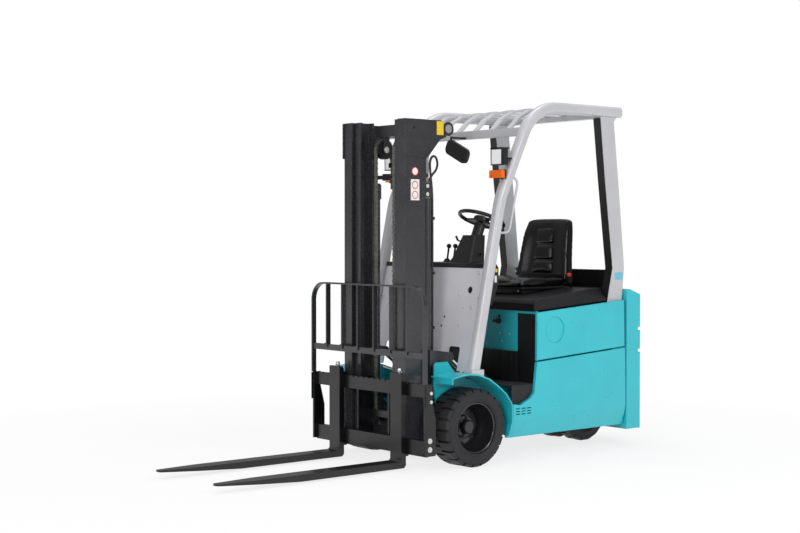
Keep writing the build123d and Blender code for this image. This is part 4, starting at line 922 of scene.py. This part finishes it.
def cushionForm(u, v, w):
    # dished in the middle, with a rounded front and raised sides
    form = seat["cushion"]
    side = 16 * u * u if w > 0 else 0
    nose = 26 * max(-v - 0.55, 0) / 0.45 if w > 0 else 0
    tuck = 1 - 0.05 * max(v, 0) - 0.04 * max(-v, 0) ** 3
    z = mixed(form["low"], form["top"] + side - nose, w)
    return u * form["half"] * tuck, mixed(form["front"], form["rear"], v), z


def cushionInsertForm(u, v, w):
    # a little crowned across, and bent down over the cushion's front
    form = seat["cushionInsert"]
    nose = 20 * max(-v - 0.6, 0) / 0.4
    crown = 5 * (1 - u * u) if w > 0 else 0
    z = mixed(form["low"], form["top"], w) + crown - nose
    return u * form["half"], mixed(form["front"], form["rear"], v), z


def backForm(u, v, w):
    # shoulders rounded off, wings coming forward at both sides
    form = seat["back"]
    shoulder = max(w - 0.5, 0) / 0.5
    z = mixed(form["low"], form["top"], w) - 10 * shoulder * abs(u) ** 6
    half = mixed(form["halfLow"], form["halfTop"], w) * (1 - 0.04 * shoulder ** 3)
    front = backY(z) + 16 - form["wing"] * abs(u) ** 3 * (1 - 0.6 * shoulder)
    return u * half, mixed(front, backY(z) + form["thick"] - 10 * abs(u) ** 3, v), z


def backInsertForm(u, v, w):
    # a narrow panel, crowned towards the driver
    form = seat["backInsert"]
    z = mixed(form["low"], form["top"], w)
    half = mixed(form["halfLow"], form["halfTop"], w)
    front = backY(z) + 3 - 5 * (1 - u * u)
    return u * half, mixed(front, front + form["thick"], v), z


def addBackShell():
    v = seat["shell"]
    mesh = bmesh.new()
    bmesh.ops.create_cube(mesh, size=2)
    bmesh.ops.subdivide_edges(mesh, edges=mesh.edges[:], cuts=7, use_grid_fill=True)
    for vert in mesh.verts:
        across, through, up = vert.co
        z = mixed(v["low"], v["top"], up)
        half = mixed(v["halfLow"], v["halfTop"], up) * (1 - 0.1 * max(up, 0) ** 3)
        wrap = v["wrap"] * across * across
        y = mixed(backY(z) + v["front"] - wrap, backY(z) + v["rear"] - wrap, through)
        vert.co = at(across * half, y, z)
    shell = finishPiece(mesh, "backShell", "grainedPlastic", "hood_and_seat", bevel=5,
                        smooth=60)
    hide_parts("seat_back")


def addPiping(cover):
    # a cord sewn along the cushion's edge, laid on the cover at the points nearest to its route
    covered = BVHTree.FromPolygons([vert.co for vert in cover.data.vertices],
                                   [face.vertices for face in cover.data.polygons])
    route = []
    for point in seat["pipe"]:
        nearest = covered.find_nearest(at(*point))[0]
        route.append(nearest * 1000 - Vector((0, axleY * 1000, 0)))
    mesh = bmesh.new()
    addTube(mesh, route, seat["pipeRadius"])
    finishPiece(mesh, "seatPiping", "seatVinyl", "hood_and_seat", smooth=60)


belt = {
    "buckle": ((250, 1034, 1078), (266, 1062, 1100)), "socket": ((248, 1036, 1036), (268, 1068, 1080)),
    "stalk": ((258, 1052, 1040), (256, 1062, 1028), (246, 1080, 1014), (236, 1090, 1004)), "stalkRadius": 6,
    "tongue": ((-256, 1070, 1100), (-238, 1106, 1104)), "post": ((-247, 1088, 1030), (-247, 1088, 1102)),
}


def addBelt():
    v = belt
    mesh = bmesh.new()
    addBlock(mesh, *v["buckle"])
    finishPiece(mesh, "beltBuckle", "redFoil", "hood_and_seat", bevel=3)
    mesh = bmesh.new()
    addBlock(mesh, *v["socket"])
    addTube(mesh, v["stalk"], v["stalkRadius"])
    finishPiece(mesh, "buckleStalk", "grainedPlastic", "hood_and_seat", smooth=60)
    mesh = bmesh.new()
    addBlock(mesh, *v["tongue"])
    addRod(mesh, *v["post"], 4, 12)
    finishPiece(mesh, "beltTongue", "chromePlate", "hood_and_seat", bevel=1)


def addRails():
    v = seat["rails"]
    bolts, rails = bmesh.new(), bmesh.new()
    for x in (-v["x"], v["x"]):
        addBlock(rails, (x - v["half"], v["front"], v["low"]), (x + v["half"], v["rear"], v["top"]))
        for y in v["boltY"]:
            addBolt(bolts, (x + v["half"], y, v["boltZ"]), (1, 0, 0), 6, 4)
    finishPiece(rails, "seatRails", "blackEnamel", "hood_and_seat", bevel=2)
    finishPiece(bolts, "railBolts", "zincPlate", "hood_and_seat", bevel=0.5)


def addSeat():
    cover = swollen("cushionCover", cushionForm, seat["cushion"]["cap"])
    swollen("cushionInsert", cushionInsertForm, seat["cushionInsert"]["cap"])
    swollen("backCover", backForm, seat["back"]["cap"])
    swollen("backInsert", backInsertForm, seat["backInsert"]["cap"], seat["grooves"])
    mesh = bmesh.new()
    addBlock(mesh, *seat["pan"])
    pan = finishPiece(mesh, "cushionPan", "grainedPlastic", "hood_and_seat", bevel=6)
    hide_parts("seat_cushion")
    addBackShell()
    addPiping(cover)
    addBelt()
    addRails()


# Stage: a pale floor, soft lights and a white surround

lamps = [
    # place, target, width, watts
    ((6.0, 0.8, 3.2), (0, 0.2, 0.9), 1.6, 114),
    ((4.2, -6.2, 2.9), (0, 0, 1.0), 2.0, 165),
    ((-2.5, -5.0, 2.4), (0, 0, 1.0), 0.9, 26),
    ((-0.5, 1.0, 6.0), (0, 0.2, 1.0), 2.6, 108),
]


def addFloor():
    # white, lit by the lamps near the truck and fading into the white surround further out
    whole = bmesh.new()
    bmesh.ops.create_grid(whole, x_segments=1, y_segments=1, size=60)
    data = bpy.data.meshes.new("floor")
    whole.to_mesh(data)
    whole.free()
    floor = bpy.data.objects.new("studioFloor", data)
    scene.collection.objects.link(floor)
    material, tree, surface = newMaterial("studioFloor", {"Base Color": "#f4f4f4", "Roughness": 0.9})
    path = addNode(tree, "LightPath")
    seen = addNode(tree, "Math", {"operation": "MAXIMUM"})
    tree.links.new(path.outputs["Is Camera Ray"], seen.inputs[0])
    tree.links.new(path.outputs["Is Glossy Ray"], seen.inputs[1])
    away = addNode(tree, "VectorMath", {"operation": "LENGTH"})
    tree.links.new(objectPoint(tree), away.inputs[0])
    near = addNode(tree, "MapRange", inputs={
        "Value": away.outputs["Value"], "From Min": 1.6, "From Max": 4.0, "To Min": 0.8, "To Max": 1.0})
    share = addNode(tree, "Math", {"operation": "MULTIPLY"})
    tree.links.new(seen.outputs[0], share.inputs[0])
    tree.links.new(near.outputs["Result"], share.inputs[1])
    glow = addNode(tree, "Emission", inputs={"Color": (1, 1, 1, 1), "Strength": 1.0})
    blend = addNode(tree, "MixShader", inputs={"Fac": share.outputs[0]})
    tree.links.new(surface.outputs[0], blend.inputs[1])
    tree.links.new(glow.outputs[0], blend.inputs[2])
    tree.links.new(blend.outputs[0], tree.nodes["Material Output"].inputs["Surface"])
    floor.data.materials.append(material)


def addLamps():
    for index, (spot, target, width, watts) in enumerate(lamps):
        data = bpy.data.lights.new(f"lamp{index}", "AREA")
        data.shape = "SQUARE"
        data.size = width
        data.energy = watts
        lamp = bpy.data.objects.new(f"lamp{index}", data)
        lamp.location = spot
        lamp.rotation_euler = (Vector(target) - Vector(spot)).to_track_quat("-Z", "Y").to_euler()
        scene.collection.objects.link(lamp)


def addSurround():
    # a dome that is bright overhead and dim low down, so that gloss has something to show
    world = bpy.data.worlds.new("surround")
    scene.world = world
    world.use_nodes = True
    tree = world.node_tree
    background = tree.nodes["Background"]
    background.inputs["Color"].default_value = (1, 1, 1, 1)
    path = addNode(tree, "LightPath")
    seen = addNode(tree, "Math", {"operation": "MAXIMUM"})
    tree.links.new(path.outputs["Is Camera Ray"], seen.inputs[0])
    tree.links.new(path.outputs["Is Transmission Ray"], seen.inputs[1])
    outwards = addNode(tree, "TexCoord").outputs["Generated"]
    height = addNode(tree, "SeparateXYZ", inputs={"Vector": outwards})
    dome = addNode(tree, "MapRange", inputs={
        "Value": height.outputs["Z"], "From Min": -0.05, "From Max": 0.7, "To Min": 0.16, "To Max": 0.6})
    level = addNode(tree, "Mix", {"data_type": "FLOAT"}, {"Factor": seen.outputs[0]})
    tree.links.new(dome.outputs["Result"], level.inputs["A"])
    level.inputs["B"].default_value = 1.0
    tree.links.new(level.outputs["Result"], background.inputs["Strength"])
    scene.view_settings.view_transform = "Standard"


addCamera()
finishNodes()
print("frame finished in its materials")
for wheelSide in (1, -1):
    addFrontWheel(wheelSide)
addRearWheels()
addChains()
print("wheels and chains done")
addMastLabels()
addMastFittings()
addCarriagePieces()
addCowlPieces()
addFloorStuds()
addDash()
addDashPatches()
addBayKnob()
addLampPieces()
addMirrorGlass()
addPostPieces()
print("fittings done")
addSeat()
print("seat done")
addFloor()
addLamps()
addSurround()
print("stage set")
